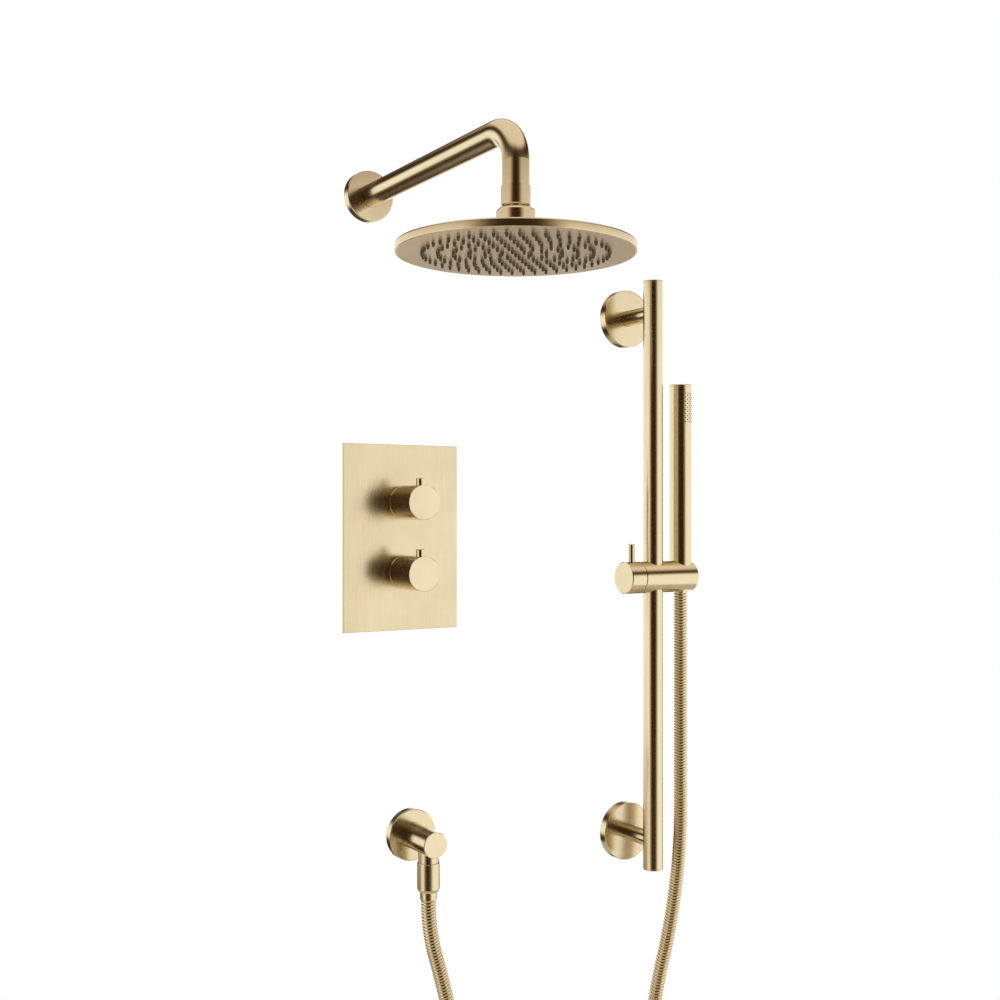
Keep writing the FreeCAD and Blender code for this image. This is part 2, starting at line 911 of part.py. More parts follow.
for name, height in knob_heights.items():
    rest = (0, button_y, height + spring_low + 0.4)
    keep(f"{name}_button_spring", coil_spring(f"{name}_button_spring", 0.35, 2.9, 3.2, 3, rest))

# ---- rail, its caps and brackets

rail_at = (rail_x, -rail_off)
tube_low = rail_bottom + cap_thick
tube_length = rail_top - rail_bottom - 2 * cap_thick
rail_bore = rail_radius - rail_wall
rail_solid = drum("rail_solid", rail_radius, tube_length, (*rail_at, tube_low))
rail_hollow = drum("rail_hollow", rail_bore, tube_length, (*rail_at, tube_low))
rail_holes = [
    drum(f"rail_hole_{i}", post_screw + 0.2, rail_radius + 2, (*rail_at, height), "wall")
    for i, height in enumerate((upper_z, lower_z))
]
keep("rail_tube", without("rail_tube", rail_solid, rail_hollow, *rail_holes))

rail_caps = []
for name, low, way in (("top", rail_top - cap_thick, "up"), ("bottom", tube_low, "down")):
    cap_outline = [
        (0, 0),
        (rail_radius, 0),
        (rail_radius, cap_thick - 0.5),
        (rail_radius - 0.5, cap_thick),
        (0, cap_thick),
    ]
    disc = turned(f"rail_cap_{name}_disc", cap_outline, (*rail_at, low), way)
    back = {"up": "down", "down": "up"}[way]
    stub = drum(f"rail_cap_{name}_stub", rail_bore - fit_gap, 8, (*rail_at, low), back)
    rail_caps.append(together(f"rail_cap_{name}", disc, stub))
keep("rail_caps", side_by_side("rail_caps", *rail_caps))

boss_disc = 3
grub_y = -(rosette_depth + 5)
grub_radius = 2
screw_seat = 9
seat_radius = wall_head + 0.2
bosses = []
posts = []
rosettes = []
grubs = []
post_screws = []
for name, height in (("upper", upper_z), ("lower", lower_z)):
    boss_outline = [
        (screw_radius + 0.2, 0),
        (boss_radius, 0),
        (boss_radius, boss_disc),
        (spigot_radius, boss_disc),
        (spigot_radius, boss_disc + spigot_length),
        (seat_radius, boss_disc + spigot_length),
        (seat_radius, screw_seat),
        (screw_radius + 0.2, screw_seat),
    ]
    bosses.append(turned(f"{name}_wall_boss", boss_outline, (rail_x, 0, height), "room"))
    post_solid = drum(
        f"{name}_post_solid", post_radius, rail_off - boss_disc, (rail_x, -boss_disc, height), "room"
    )
    head_y = -(rail_off - rail_bore + 1.6 + post_head_thick)
    thread_y = head_y + post_screw_length + thread_room
    post_tools = [
        drum(f"{name}_post_saddle", rail_radius, through, (*rail_at, height - through / 2)),
        drum(
            f"{name}_post_bore",
            spigot_radius + fit_gap,
            spigot_length + past,
            (rail_x, -boss_disc, height),
            "room",
        ),
        drum(
            f"{name}_post_thread",
            post_screw + fit_gap,
            rail_off + thread_y,
            (rail_x, thread_y, height),
            "room",
        ),
        drum(
            f"{name}_post_grub_hole",
            grub_radius + fit_gap,
            post_radius + past,
            (rail_x, grub_y, height),
            "down",
        ),
    ]
    posts.append(without(f"{name}_post", post_solid, *post_tools))
    post_hole = post_radius + fit_gap
    rosettes.append(cup(f"{name}_rosette", rosette_radius, rosette_depth, post_hole, (rail_x, 0, height)))
    grub_length = post_radius - spigot_radius - 0.2
    grub_at = (rail_x, grub_y, height - spigot_radius - fit_gap)
    grubs.append(drum(f"{name}_grub", grub_radius, grub_length, grub_at, "down"))
    screw_outline = [
        (0, 0),
        (post_head, 0),
        (post_head, post_head_thick),
        (post_screw, post_head_thick),
        (post_screw, post_screw_length),
        (0, post_screw_length),
    ]
    post_screws.append(turned(f"{name}_post_screw", screw_outline, (rail_x, head_y, height), "wall"))

keep("wall_bosses", side_by_side("wall_bosses", *bosses))
keep("rail_posts", side_by_side("rail_posts", *posts))
keep("rail_rosettes", side_by_side("rail_rosettes", *rosettes))
keep("post_grub_screws", side_by_side("post_grub_screws", *grubs))
keep("post_screws", side_by_side("post_screws", *post_screws))

wall_screws = []
wall_plugs = []
plug_bore = screw_radius + 0.03
for name, height in (("upper", upper_z), ("lower", lower_z)):
    screw_outline = [
        (0, 0),
        (wall_head, 0),
        (wall_head, post_head_thick),
        (screw_radius, post_head_thick),
        (screw_radius, screw_length - 2),
        (0.6, screw_length),
        (0, screw_length),
    ]
    wall_screws.append(
        turned(f"{name}_wall_screw", screw_outline, (rail_x, -(screw_seat + post_head_thick), height), "wall")
    )
    plug_outline = [
        (plug_bore, 0),
        (plug_radius, 0),
        (plug_radius, plug_length),
        (plug_bore, plug_length),
    ]
    wall_plugs.append(turned(f"{name}_wall_plug", plug_outline, (rail_x, 0, height), "wall"))
keep("wall_screws", side_by_side("wall_screws", *wall_screws))
keep("wall_plugs", side_by_side("wall_plugs", *wall_plugs))

# ---- holder that slides and swivels on the rail

seam_x = rail_x - holder_left + clamp_length
body_left = seam_x + clamp_gap
body_length = holder_right + holder_left - clamp_length - clamp_gap
wand_x = rail_x + wand_off
holder_at = (-rail_off, holder_z)
bush_bore = rail_radius + running_gap
bush_out = bush_bore + bush_thick

holder_outline = [
    (0, 0),
    (holder_radius - ease, 0),
    (holder_radius, ease),
    (holder_radius, body_length - edge),
    (holder_radius - edge, body_length),
    (0, body_length),
]
holder_solid = turned("holder_solid", holder_outline, (body_left, *holder_at), "right")
socket_gap = 0.15
socket_radius = wand_radius + 0.25
socket_tool = turned(
    "holder_socket",
    [
        (0, 0),
        (cone_low + socket_gap, 0),
        (cone_top + socket_gap, holder_radius + wand_low - cone_neck),
        (cone_top + socket_gap, holder_radius + wand_low - 0.3),
        (socket_radius, holder_radius + wand_low - 0.3),
        (socket_radius, 2 * holder_radius + 1),
        (0, 2 * holder_radius + 1),
    ],
    (wand_x, -rail_off, holder_z - holder_radius),
)
slot_half = hose_radius + 0.4
slot_tool = block(
    "holder_slot",
    holder_right,
    2 * slot_half,
    2 * holder_radius + 4,
    (wand_x, -rail_off - slot_half, holder_z - holder_radius - 2),
)
rail_bore_tool = drum("holder_rail_bore", bush_out + fit_gap, through, (*rail_at, holder_z - through / 2))
bolt_bore = drum("holder_bolt_bore", bolt_radius + running_gap, 40, (rail_x - 40, *holder_at), "right")
keep(
    "holder_body",
    without("holder_body", holder_solid, socket_tool, slot_tool, rail_bore_tool, bolt_bore),
)
bush_outline = [
    (bush_bore, 0),
    (bush_out, 0),
    (bush_out, 2 * bush_half),
    (bush_bore, 2 * bush_half),
]
keep("holder_bush", turned("holder_bush", bush_outline, (*rail_at, holder_z - bush_half)))

pad_thick = 2.4
bolt_tip = bush_out + fit_gap + pad_thick + 0.1
pad_solid = drum(
    "brake_pad_solid", bolt_radius - 0.1, pad_thick + 6, (rail_x - bolt_tip + 0.1, *holder_at), "right"
)
pad_tool = drum("brake_pad_hollow", bush_out + fit_gap, 40, (*rail_at, holder_z - 20))
keep("brake_pad", without("brake_pad", pad_solid, pad_tool))

knob_left = rail_x - holder_left
clamp_outline = [
    (0, 0),
    (holder_radius - edge, 0),
    (holder_radius, edge),
    (holder_radius, clamp_length - ease),
    (holder_radius - ease, clamp_length),
    (0, clamp_length),
]
clamp_solid = turned("clamp_knob_solid", clamp_outline, (knob_left, *holder_at), "right")
lever_x = knob_left + lever_in
lever_seat = 8
bolt_seat = knob_left + lever_in + 4.5
lever_foot = (lever_x, -rail_off, holder_z + lever_seat)
lever_hole = drum("clamp_lever_hole", lever_radius + fit_gap, holder_radius, lever_foot)
bolt_hole = drum("clamp_bolt_hole", bolt_radius + fit_gap, clamp_length, (bolt_seat, *holder_at), "right")
keep("clamp_knob", without("clamp_knob", clamp_solid, lever_hole, bolt_hole))
bolt_start = bolt_seat + 0.1
bolt_length = rail_x - bolt_tip - bolt_start
keep("clamp_bolt", drum("clamp_bolt", bolt_radius, bolt_length, (bolt_start, *holder_at), "right"))
lever_lift = 0.2
lever_length = holder_radius + lever_out - lever_seat - lever_lift
lever_outline = [
    (0, 0),
    (lever_radius, 0),
    (lever_radius, lever_length - 0.5),
    (lever_radius - 0.5, lever_length),
    (0, lever_length),
]
lever_at = (lever_x, -rail_off, holder_z + lever_seat + lever_lift)
keep("clamp_lever", turned("clamp_lever", lever_outline, lever_at))

# ---- hand shower and the cone nut of its hose

wand_at = (wand_x, -rail_off)
wand_bottom = holder_z + wand_low
wand_length = wand_top - wand_low
wand_bore = wand_radius - wand_wall
cap_depth = 3
tube_outline = [
    (wand_bore, 0),
    (wand_radius - ease, 0),
    (wand_radius, ease),
    (wand_radius, wand_length - cap_depth),
    (wand_bore, wand_length - cap_depth),
]
wand_tube = turned("wand_tube", tube_outline, (*wand_at, wand_bottom))


def spray_holes(name, radius, start, length):
    """Staggered rows of round cutters that point at the room, high on the hand shower."""
    made = []
    for row in range(int(spray_rows.value)):
        columns = int(spray_columns.value) - row % 2
        for column in range(columns):
            turn = math.radians((column - (columns - 1) / 2) * spray_step.value)
            ray = Vector(math.sin(turn), -math.cos(turn), 0)
            cutter = doc.addObject("Part::Cylinder", f"{name}_{row}_{column}")
            tie(cutter, "Radius", radius)
            tie(cutter, "Height", length)
            at = (
                wand_x + start * ray.x,
                -rail_off + start * ray.y,
                wand_bottom + wand_length - spray_top - spray_pitch * row,
            )
            made.append(place(cutter, at, Rotation(Vector(0, 0, 1), ray)))
    return made


keep(
    "handset_body",
    without("handset_body", wand_tube, *spray_holes("spray_hole", spray_radius, wand_bore - 2, 6)),
)
cap_plug = 6
cap_ease = 0.6
cap_height = cap_plug + cap_depth
cap_outline = [
    (0, 0),
    (wand_bore - fit_gap, 0),
    (wand_bore - fit_gap, cap_plug),
    (wand_radius, cap_plug),
    (wand_radius, cap_height - cap_ease),
    (wand_radius - cap_ease, cap_height),
    (0, cap_height),
]
cap_z = wand_bottom + wand_length - cap_height
keep("handset_cap", turned("handset_cap", cap_outline, (*wand_at, cap_z)))

strip_length = spray_pitch * spray_rows + 4
strip_inside = wand_bore - 1.6
strip_outline = [
    (strip_inside, 0),
    (wand_bore - fit_gap, 0),
    (wand_bore - fit_gap, strip_length),
    (strip_inside, strip_length),
]
strip_z = cap_z - strip_length - 0.2
strip_ring = turned("spray_strip_ring", strip_outline, (*wand_at, strip_z))
tips = spray_holes("spray_tip", spray_radius - 0.05, wand_bore - 1.2, wand_wall + 1.5)
keep("handset_spray_strip", together("handset_spray_strip", strip_ring, *tips))

inlet_reach = 9
inlet_plug = 10
inlet_outline = [
    (washer_bore, 0),
    (half_inch_radius - edge, 0),
    (half_inch_radius, edge),
    (half_inch_radius, inlet_reach),
    (wand_bore - fit_gap, inlet_reach),
    (wand_bore - fit_gap, inlet_reach + inlet_plug),
    (washer_bore, inlet_reach + inlet_plug),
]
keep("handset_inlet", turned("handset_inlet", inlet_outline, (*wand_at, wand_bottom - inlet_reach)))

cone_z = holder_z - holder_radius
cone_length = holder_radius + wand_low - 0.4
nut_bore = half_inch_radius + running_gap
hose_bore = hose_radius - 2.4
washer_seat = cone_length - inlet_reach - 1.6
cone_outline = [
    (hose_bore, 0),
    (cone_low, 0),
    (cone_top, cone_length - cone_neck + 0.4),
    (cone_top, cone_length),
    (nut_bore, cone_length),
    (nut_bore, washer_seat),
    (hose_bore, washer_seat),
]
keep("handset_cone_nut", turned("handset_cone_nut", cone_outline, (*wand_at, cone_z)))


def washer(name, rim, at, way="up"):
    """A flat ring that lies inside a nut."""
    outline = [(washer_bore, 0), (rim, 0), (rim, washer_thick), (washer_bore, washer_thick)]
    return keep(name, turned(name, outline, at, way))


washer("handset_washer", nut_bore - washer_gap, (*wand_at, cone_z + washer_seat))

# ---- wall outlet and the hose's lower end

outlet_bore = waterway
socket_radius_in = half_inch_radius - 0.4
rose_hole = outlet_radius + fit_gap
keep(
    "outlet_rosette",
    cup("outlet_rosette", outlet_rose, outlet_rose_depth, rose_hole, (outlet_x, 0, outlet_z)),
)
outlet_outline = [
    (0, 0),
    (outlet_radius, 0),
    (outlet_radius, outlet_length - 0.5),
    (outlet_radius - 0.5, outlet_length),
    (0, outlet_length),
]
outlet_skin = turned("outlet_skin", outlet_outline, (outlet_x, 0, outlet_z), "room")
spigot_at = (outlet_x, -drop_off, outlet_z)
spigot_outer = half_inch_radius - 0.1
drop_reach = hose_nut_top + 10
spigot = drum("outlet_spigot", spigot_outer, drop_reach, spigot_at, "down")
outlet_tools = [
    drum("outlet_socket", socket_radius_in, outlet_seat + past, (outlet_x, 0, outlet_z), "room"),
    drum("outlet_bore", outlet_bore, drop_off + 4, (outlet_x, 0, outlet_z), "room"),
    drum("outlet_drop_bore", outlet_bore - 0.8, drop_reach + 1, spigot_at, "down"),
]
keep("outlet_body", without("outlet_body", together("outlet_solid", outlet_skin, spigot), *outlet_tools))
keep(
    "outlet_nipple",
    nipple(
        "outlet_nipple",
        socket_radius_in - fit_gap,
        outlet_seat,
        half_inch_radius,
        pipe_tail,
        outlet_bore,
        (outlet_x, pipe_tail, outlet_z),
        "room",
    ),
)
flap_hole = 2.5
flap_length = 12
flap_outline = [
    (flap_hole, 0),
    (outlet_bore - fit_gap, 0),
    (outlet_bore - fit_gap, flap_length),
    (flap_hole, flap_length),
]
keep("outlet_check_valve", turned("outlet_check_valve", flap_outline, (outlet_x, -15, outlet_z), "room"))

nut_at = (outlet_x, -drop_off, outlet_z - hose_nut_top)
nut_shoulder_at = 14
tail_bore = hose_radius - 1.4
hose_nut_outline = [
    (spigot_outer + fit_gap, 0),
    (hose_nut_radius - ease, 0),
    (hose_nut_radius, ease),
    (hose_nut_radius, hose_nut_length - 3),
    (hose_nut_radius - 1.6, hose_nut_length),
    (tail_bore, hose_nut_length),
    (tail_bore, nut_shoulder_at),
    (spigot_outer + fit_gap, nut_shoulder_at),
]
keep("hose_nut", turned("hose_nut", hose_nut_outline, nut_at, "down"))
hose_washer_at = (outlet_x, -drop_off, outlet_z - drop_reach - fit_gap)
washer("hose_washer", spigot_outer - washer_gap, hose_washer_at, "down")
ferrule_top = outlet_z - hose_nut_top - hose_nut_length
ferrule_outline = [
    (tail_bore, 0),
    (ferrule_radius, 0),
    (ferrule_radius, ferrule_length - 0.5),
    (ferrule_radius - 0.5, ferrule_length),
    (tail_bore, ferrule_length),
]
keep("hose_ferrule", turned("hose_ferrule", ferrule_outline, (outlet_x, -drop_off, ferrule_top), "down"))

# ---- hose: hangs in a loop from the outlet to the hand shower

hose_start = Vector(outlet_x.value, -drop_off.value, (ferrule_top - ferrule_length).value)
hose_end = Vector(wand_x.value, -rail_off.value, cone_z.value)
hose_route = [
    hose_start,
    Vector(10.3, -42.2, -396),
    Vector(26.5, -42.6, -450),
    Vector(46, -43.5, -533),
    Vector(60, -44.5, -625),
    Vector(69, -45.5, -724),
    Vector(76, -46.5, -829),
    Vector(110, -47.5, -876),
    Vector(166, -49, -894),
    Vector(222, -50.5, -877),
    Vector(256, -51.5, -829),
    Vector(265, -52.5, -712),
    Vector(277, -53.5, -600),
    Vector(293, -54.5, -505),
    Vector(313, -55.2, -440),
    Vector(326.9, -55.7, -352),
    hose_end,
]


def hose_tube(route, radius):
    """A solid tube along straight runs joined by tangent arcs, with its radii and its length."""
    edges = []
    radii = []
    start = route[0]
    for before, corner, after in zip(route, route[1:], route[2:]):
        back = (before - corner).normalize()
        on = (after - corner).normalize()
        half_turn = (math.pi - back.getAngle(on)) / 2
        shorter = min((before - corner).Length, (after - corner).Length)
        setback = 0.45 * shorter
        bend = setback / math.tan(half_turn)
        inward = (back + on).normalize()
        middle = corner + inward * (bend / math.cos(half_turn) - bend)
        first = corner + back * setback
        last = corner + on * setback
        edges.append(Part.LineSegment(start, first).toShape())
        edges.append(Part.Arc(first, middle, last).toShape())
        radii.append(bend)
        start = last
    edges.append(Part.LineSegment(start, route[-1]).toShape())
    path = Part.Wire(edges)
    section = Part.Wire([Part.Circle(route[0], route[1] - route[0], radius).toShape()])
    return path.makePipeShell([section], True, True), radii, path.Length


hose = doc.addObject("Part::Feature", "hose")
hose.Shape, hose_radii, hose_length = hose_tube(hose_route, hose_radius.value)
hose.Placement = Placement()
keep("hose", hose)
print("hose length", round(hose_length, 1), "radii", [round(r) for r in hose_radii])
expected = math.pi * hose_radius.value**2 * hose_length
print("hose volume over section times length", round(hose.Shape.Volume / expected, 4))

# ---- check and write

doc.recompute()
for thing in doc.Objects:
    if {"Invalid", "Error"} & set(thing.State):
        raise RuntimeError(f"{thing.Label} is {thing.State}")
os.makedirs("parts", exist_ok=True)
for name, thing in pieces.items():
    shape = thing.Shape
    if shape.isNull() or not shape.isValid() or not shape.Solids:
        raise RuntimeError(f"{name} has no valid solid")
    shape.exportStep(f"parts/{name}.step")
print(len(pieces), "sub-parts written")
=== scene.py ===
import json
import math

import bmesh
import bpy
from mathutils import Matrix, Vector

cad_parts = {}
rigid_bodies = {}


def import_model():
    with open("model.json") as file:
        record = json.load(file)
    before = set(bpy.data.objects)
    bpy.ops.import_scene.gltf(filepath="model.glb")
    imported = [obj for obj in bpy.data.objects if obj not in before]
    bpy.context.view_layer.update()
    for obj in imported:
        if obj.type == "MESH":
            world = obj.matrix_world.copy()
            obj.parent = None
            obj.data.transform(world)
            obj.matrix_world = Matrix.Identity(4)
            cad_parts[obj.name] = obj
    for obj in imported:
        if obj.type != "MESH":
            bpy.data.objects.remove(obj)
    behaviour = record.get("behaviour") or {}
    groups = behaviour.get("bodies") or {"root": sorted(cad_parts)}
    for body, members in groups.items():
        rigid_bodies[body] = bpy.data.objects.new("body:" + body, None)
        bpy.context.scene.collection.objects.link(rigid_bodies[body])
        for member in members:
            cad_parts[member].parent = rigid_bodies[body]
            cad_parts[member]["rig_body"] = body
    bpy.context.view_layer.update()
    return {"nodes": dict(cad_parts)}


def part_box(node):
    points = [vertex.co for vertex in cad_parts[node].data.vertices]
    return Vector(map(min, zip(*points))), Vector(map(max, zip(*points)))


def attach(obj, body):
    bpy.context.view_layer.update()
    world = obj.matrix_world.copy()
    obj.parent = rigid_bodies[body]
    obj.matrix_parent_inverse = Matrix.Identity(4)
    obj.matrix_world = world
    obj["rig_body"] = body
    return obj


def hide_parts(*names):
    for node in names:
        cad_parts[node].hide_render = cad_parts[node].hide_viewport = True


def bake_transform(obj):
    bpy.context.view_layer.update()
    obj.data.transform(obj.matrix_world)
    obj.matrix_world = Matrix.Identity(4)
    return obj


# Concealed shower set in brushed brass. Pieces are drawn in millimetres and scaled to metres at the end.

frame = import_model()
nodes = frame["nodes"]
scene = bpy.context.scene
mm = 0.001

# the camera, at the height of the valve and turned toward the rail
camera = {
    "place": (-0.5904, -1.1544, 0.0255),
    "turn": -31.65,
    "lens": 45.02,
    "sensor": 36,
    "shiftUp": 0.0127,
    "sees": (0.01, 50),  # nearest and farthest
}


def makeCamera(settings):
    data = bpy.data.cameras.new("camera")
    data.lens = settings["lens"]
    data.sensor_width = settings["sensor"]
    data.shift_y = settings["shiftUp"]
    data.clip_start, data.clip_end = settings["sees"]
    eye = bpy.data.objects.new("camera", data)
    eye.location = settings["place"]
    eye.rotation_euler = (math.radians(90), 0, math.radians(settings["turn"]))
    scene.collection.objects.link(eye)
    scene.camera = eye


makeCamera(camera)
print("camera placed")

def newGroup(name, inputs, outputs):
    group = bpy.data.node_groups.new(name, "ShaderNodeTree")
    for label, kind, value in inputs:
        socket = group.interface.new_socket(label, in_out="INPUT", socket_type=kind)
        if value is not None:
            socket.default_value = value
    for label, kind in outputs:
        group.interface.new_socket(label, in_out="OUTPUT", socket_type=kind)
    entry = group.nodes.new("NodeGroupInput")
    leave = group.nodes.new("NodeGroupOutput")
    return group, entry, leave


def addNode(tree, kind, **settings):
    node = tree.nodes.new(kind)
    for key, value in settings.items():
        setattr(node, key, value)
    return node


def noiseNode(tree, vector, scale, detail=2.0, rough=0.5):
    node = addNode(tree, "ShaderNodeTexNoise")
    node.inputs["Scale"].default_value = scale
    node.inputs["Detail"].default_value = detail
    node.inputs["Roughness"].default_value = rough
    tree.links.new(vector, node.inputs["Vector"])
    return node


def mixColours(tree, factor, first, second):
    node = addNode(tree, "ShaderNodeMix", data_type="RGBA")
    tree.links.new(factor, node.inputs["Factor"])
    for socket, value in ((node.inputs[6], first), (node.inputs[7], second)):
        if isinstance(value, bpy.types.NodeSocket):
            tree.links.new(value, socket)
        else:
            socket.default_value = (*value, 1)
    return node.outputs[2]


def mapRange(tree, value, low, high, outLow, outHigh, smooth=False):
    node = addNode(tree, "ShaderNodeMapRange")
    if smooth:
        node.interpolation_type = "SMOOTHSTEP"
    tree.links.new(value, node.inputs["Value"])
    for name, number in (("From Min", low), ("From Max", high), ("To Min", outLow), ("To Max", outHigh)):
        if isinstance(number, bpy.types.NodeSocket):
            tree.links.new(number, node.inputs[name])
        else:
            node.inputs[name].default_value = number
    return node.outputs["Result"]


brushed = {
    "cloudScale": 22.0,
    "cloudShare": 0.35,  # the lines have the rest
    "edges": (0.3, 0.7),
}
speckle = {
    "grain": 900.0,
    "edges": (0.35, 0.65),
}


def brushedGroup(settings):
    # fine parallel scratches along the vector's slow axis, over broad soft cloudiness
    group, entry, leave = newGroup(
        "brushedGrain",
        [
            ("Vector", "NodeSocketVector", None),
            ("Lines", "NodeSocketVector", None),
            ("Light", "NodeSocketColor", (0.8, 0.6, 0.3, 1)),
            ("Deep", "NodeSocketColor", (0.7, 0.5, 0.2, 1)),
            ("Smoothest", "NodeSocketFloat", 0.2),
            ("Roughest", "NodeSocketFloat", 0.3),
        ],
        [("Colour", "NodeSocketColor"), ("Roughness", "NodeSocketFloat"), ("Height", "NodeSocketFloat")],
    )
    lines = noiseNode(group, entry.outputs["Lines"], 1.0, 3.0, 0.6).outputs["Fac"]
    clouds = noiseNode(group, entry.outputs["Vector"], settings["cloudScale"]).outputs["Fac"]
    lineMask = mapRange(group, lines, *settings["edges"], 0.0, 1.0)
    cloudMask = mapRange(group, clouds, *settings["edges"], 0.0, 1.0)
    blendNode = addNode(group, "ShaderNodeMath", operation="MULTIPLY_ADD")
    group.links.new(lineMask, blendNode.inputs[0])
    blendNode.inputs[1].default_value = 1 - settings["cloudShare"]
    part = addNode(group, "ShaderNodeMath", operation="MULTIPLY")
    group.links.new(cloudMask, part.inputs[0])
    part.inputs[1].default_value = settings["cloudShare"]
    group.links.new(part.outputs[0], blendNode.inputs[2])
    mask = blendNode.outputs[0]
    colour = mixColours(group, mask, entry.outputs["Deep"], entry.outputs["Light"])
    rough = mapRange(group, mask, 0.0, 1.0, entry.outputs["Roughest"], entry.outputs["Smoothest"])
    group.links.new(colour, leave.inputs["Colour"])
    group.links.new(rough, leave.inputs["Roughness"])
    group.links.new(lines, leave.inputs["Height"])
    return group


def speckleGroup(settings):
    # soft mottling for moulded plastic and rubber
    group, entry, leave = newGroup(
        "mouldedSpeckle",
        [
            ("Vector", "NodeSocketVector", None),
            ("Grain", "NodeSocketFloat", settings["grain"]),
            ("Light", "NodeSocketColor", (0.5, 0.5, 0.5, 1)),
            ("Deep", "NodeSocketColor", (0.4, 0.4, 0.4, 1)),
            ("Smoothest", "NodeSocketFloat", 0.35),
            ("Roughest", "NodeSocketFloat", 0.6),
        ],
        [("Colour", "NodeSocketColor"), ("Roughness", "NodeSocketFloat"), ("Height", "NodeSocketFloat")],
    )
    grain = addNode(group, "ShaderNodeTexNoise")
    grain.inputs["Detail"].default_value = 2.0
    group.links.new(entry.outputs["Vector"], grain.inputs["Vector"])
    group.links.new(entry.outputs["Grain"], grain.inputs["Scale"])
    mask = mapRange(group, grain.outputs["Fac"], *settings["edges"], 0.0, 1.0)
    colour = mixColours(group, mask, entry.outputs["Deep"], entry.outputs["Light"])
    rough = mapRange(group, mask, 0.0, 1.0, entry.outputs["Roughest"], entry.outputs["Smoothest"])
    group.links.new(colour, leave.inputs["Colour"])
    group.links.new(rough, leave.inputs["Roughness"])
    group.links.new(grain.outputs["Fac"], leave.inputs["Height"])
    return group


groups = {"brushed": brushedGroup(brushed), "speckle": speckleGroup(speckle)}
print("node groups built")

acrossGrain = 2600.0  # noise per metre across the brushing
alongGrain = 14.0
bumpDeep = 0.0002
grainScales = {  # the way the brushing runs
    "up": (acrossGrain, acrossGrain, alongGrain),
    "out": (acrossGrain, alongGrain, acrossGrain),
    "side": (alongGrain, acrossGrain, acrossGrain),
    "around": (alongGrain, alongGrain, acrossGrain),
    "roundOut": (alongGrain, acrossGrain, alongGrain),
    "roundSide": (acrossGrain, alongGrain, alongGrain),
}
brass = {
    "light": (0.79, 0.685, 0.455),
    "deep": (0.73, 0.62, 0.39),
    "smoothest": 0.17,
    "roughest": 0.23,
    "bump": 0.015,
}


def surfaced(name, settings, kind, metallic):
    # a material whose colour, roughness and bump come from one of the node groups
    material = bpy.data.materials.new(name)
    material.use_nodes = True
    tree = material.node_tree
    shader = tree.nodes["Principled BSDF"]
    shader.inputs["Metallic"].default_value = metallic
    place = addNode(tree, "ShaderNodeTexCoord").outputs["Object"]
    group = addNode(tree, "ShaderNodeGroup", node_tree=groups[kind])
    tree.links.new(place, group.inputs["Vector"])
    group.inputs["Light"].default_value = (*settings["light"], 1)
    group.inputs["Deep"].default_value = (*settings["deep"], 1)
    group.inputs["Smoothest"].default_value = settings["smoothest"]
    group.inputs["Roughest"].default_value = settings["roughest"]
    bump = addNode(tree, "ShaderNodeBump")
    bump.inputs["Strength"].default_value = settings["bump"]
    bump.inputs["Distance"].default_value = bumpDeep
    tree.links.new(group.outputs["Height"], bump.inputs["Height"])
    tree.links.new(bump.outputs["Normal"], shader.inputs["Normal"])
    tree.links.new(group.outputs["Colour"], shader.inputs["Base Color"])
    tree.links.new(group.outputs["Roughness"], shader.inputs["Roughness"])
    return material, tree, place, group


def metalMaterial(name, settings, grain="up"):
    material, tree, place, group = surfaced(name, settings, "brushed", 1.0)
    stretch = addNode(tree, "ShaderNodeMapping")
    stretch.inputs["Scale"].default_value = grainScales[grain]
    tree.links.new(place, stretch.inputs["Vector"])
    tree.links.new(stretch.outputs["Vector"], group.inputs["Lines"])
    return material


def mouldedMaterial(name, settings):
    material, tree, place, group = surfaced(name, settings, "speckle", 0.0)
    group.inputs["Grain"].default_value = settings["grain"]
    return material


def finishLike(base, light, deep, smoothest, roughest, **others):
    return dict(base, light=light, deep=deep, smoothest=smoothest, roughest=roughest, **others)


plateBrass = finishLike(brass, (0.80, 0.70, 0.47), (0.71, 0.595, 0.365), 0.2, 0.3, bump=0.025)
rawBrass = finishLike(brass, (0.72, 0.52, 0.24), (0.62, 0.42, 0.17), 0.3, 0.45, bump=0.1)
steel = finishLike(brass, (0.62, 0.62, 0.62), (0.48, 0.48, 0.49), 0.25, 0.38)
faceMetal = finishLike(brass, (0.80, 0.68, 0.47), (0.76, 0.63, 0.42), 0.3, 0.4)
hoseMetal = finishLike(brass, (0.80, 0.67, 0.42), (0.72, 0.57, 0.32), 0.14, 0.2)
whitePlastic = {
    "light": (0.80, 0.80, 0.78),
    "deep": (0.74, 0.74, 0.71),
    "smoothest": 0.3,
    "roughest": 0.45,
    "grain": 700,
    "bump": 0.1,
}
greyPlastic = finishLike(whitePlastic, (0.26, 0.27, 0.28), (0.20, 0.21, 0.22), 0.3, 0.45)
blackRubber = finishLike(whitePlastic, (0.035, 0.035, 0.036), (0.02, 0.02, 0.02), 0.5, 0.7)
nozzleRubber = finishLike(whitePlastic, (0.12, 0.095, 0.06), (0.085, 0.065, 0.04), 0.4, 0.55)

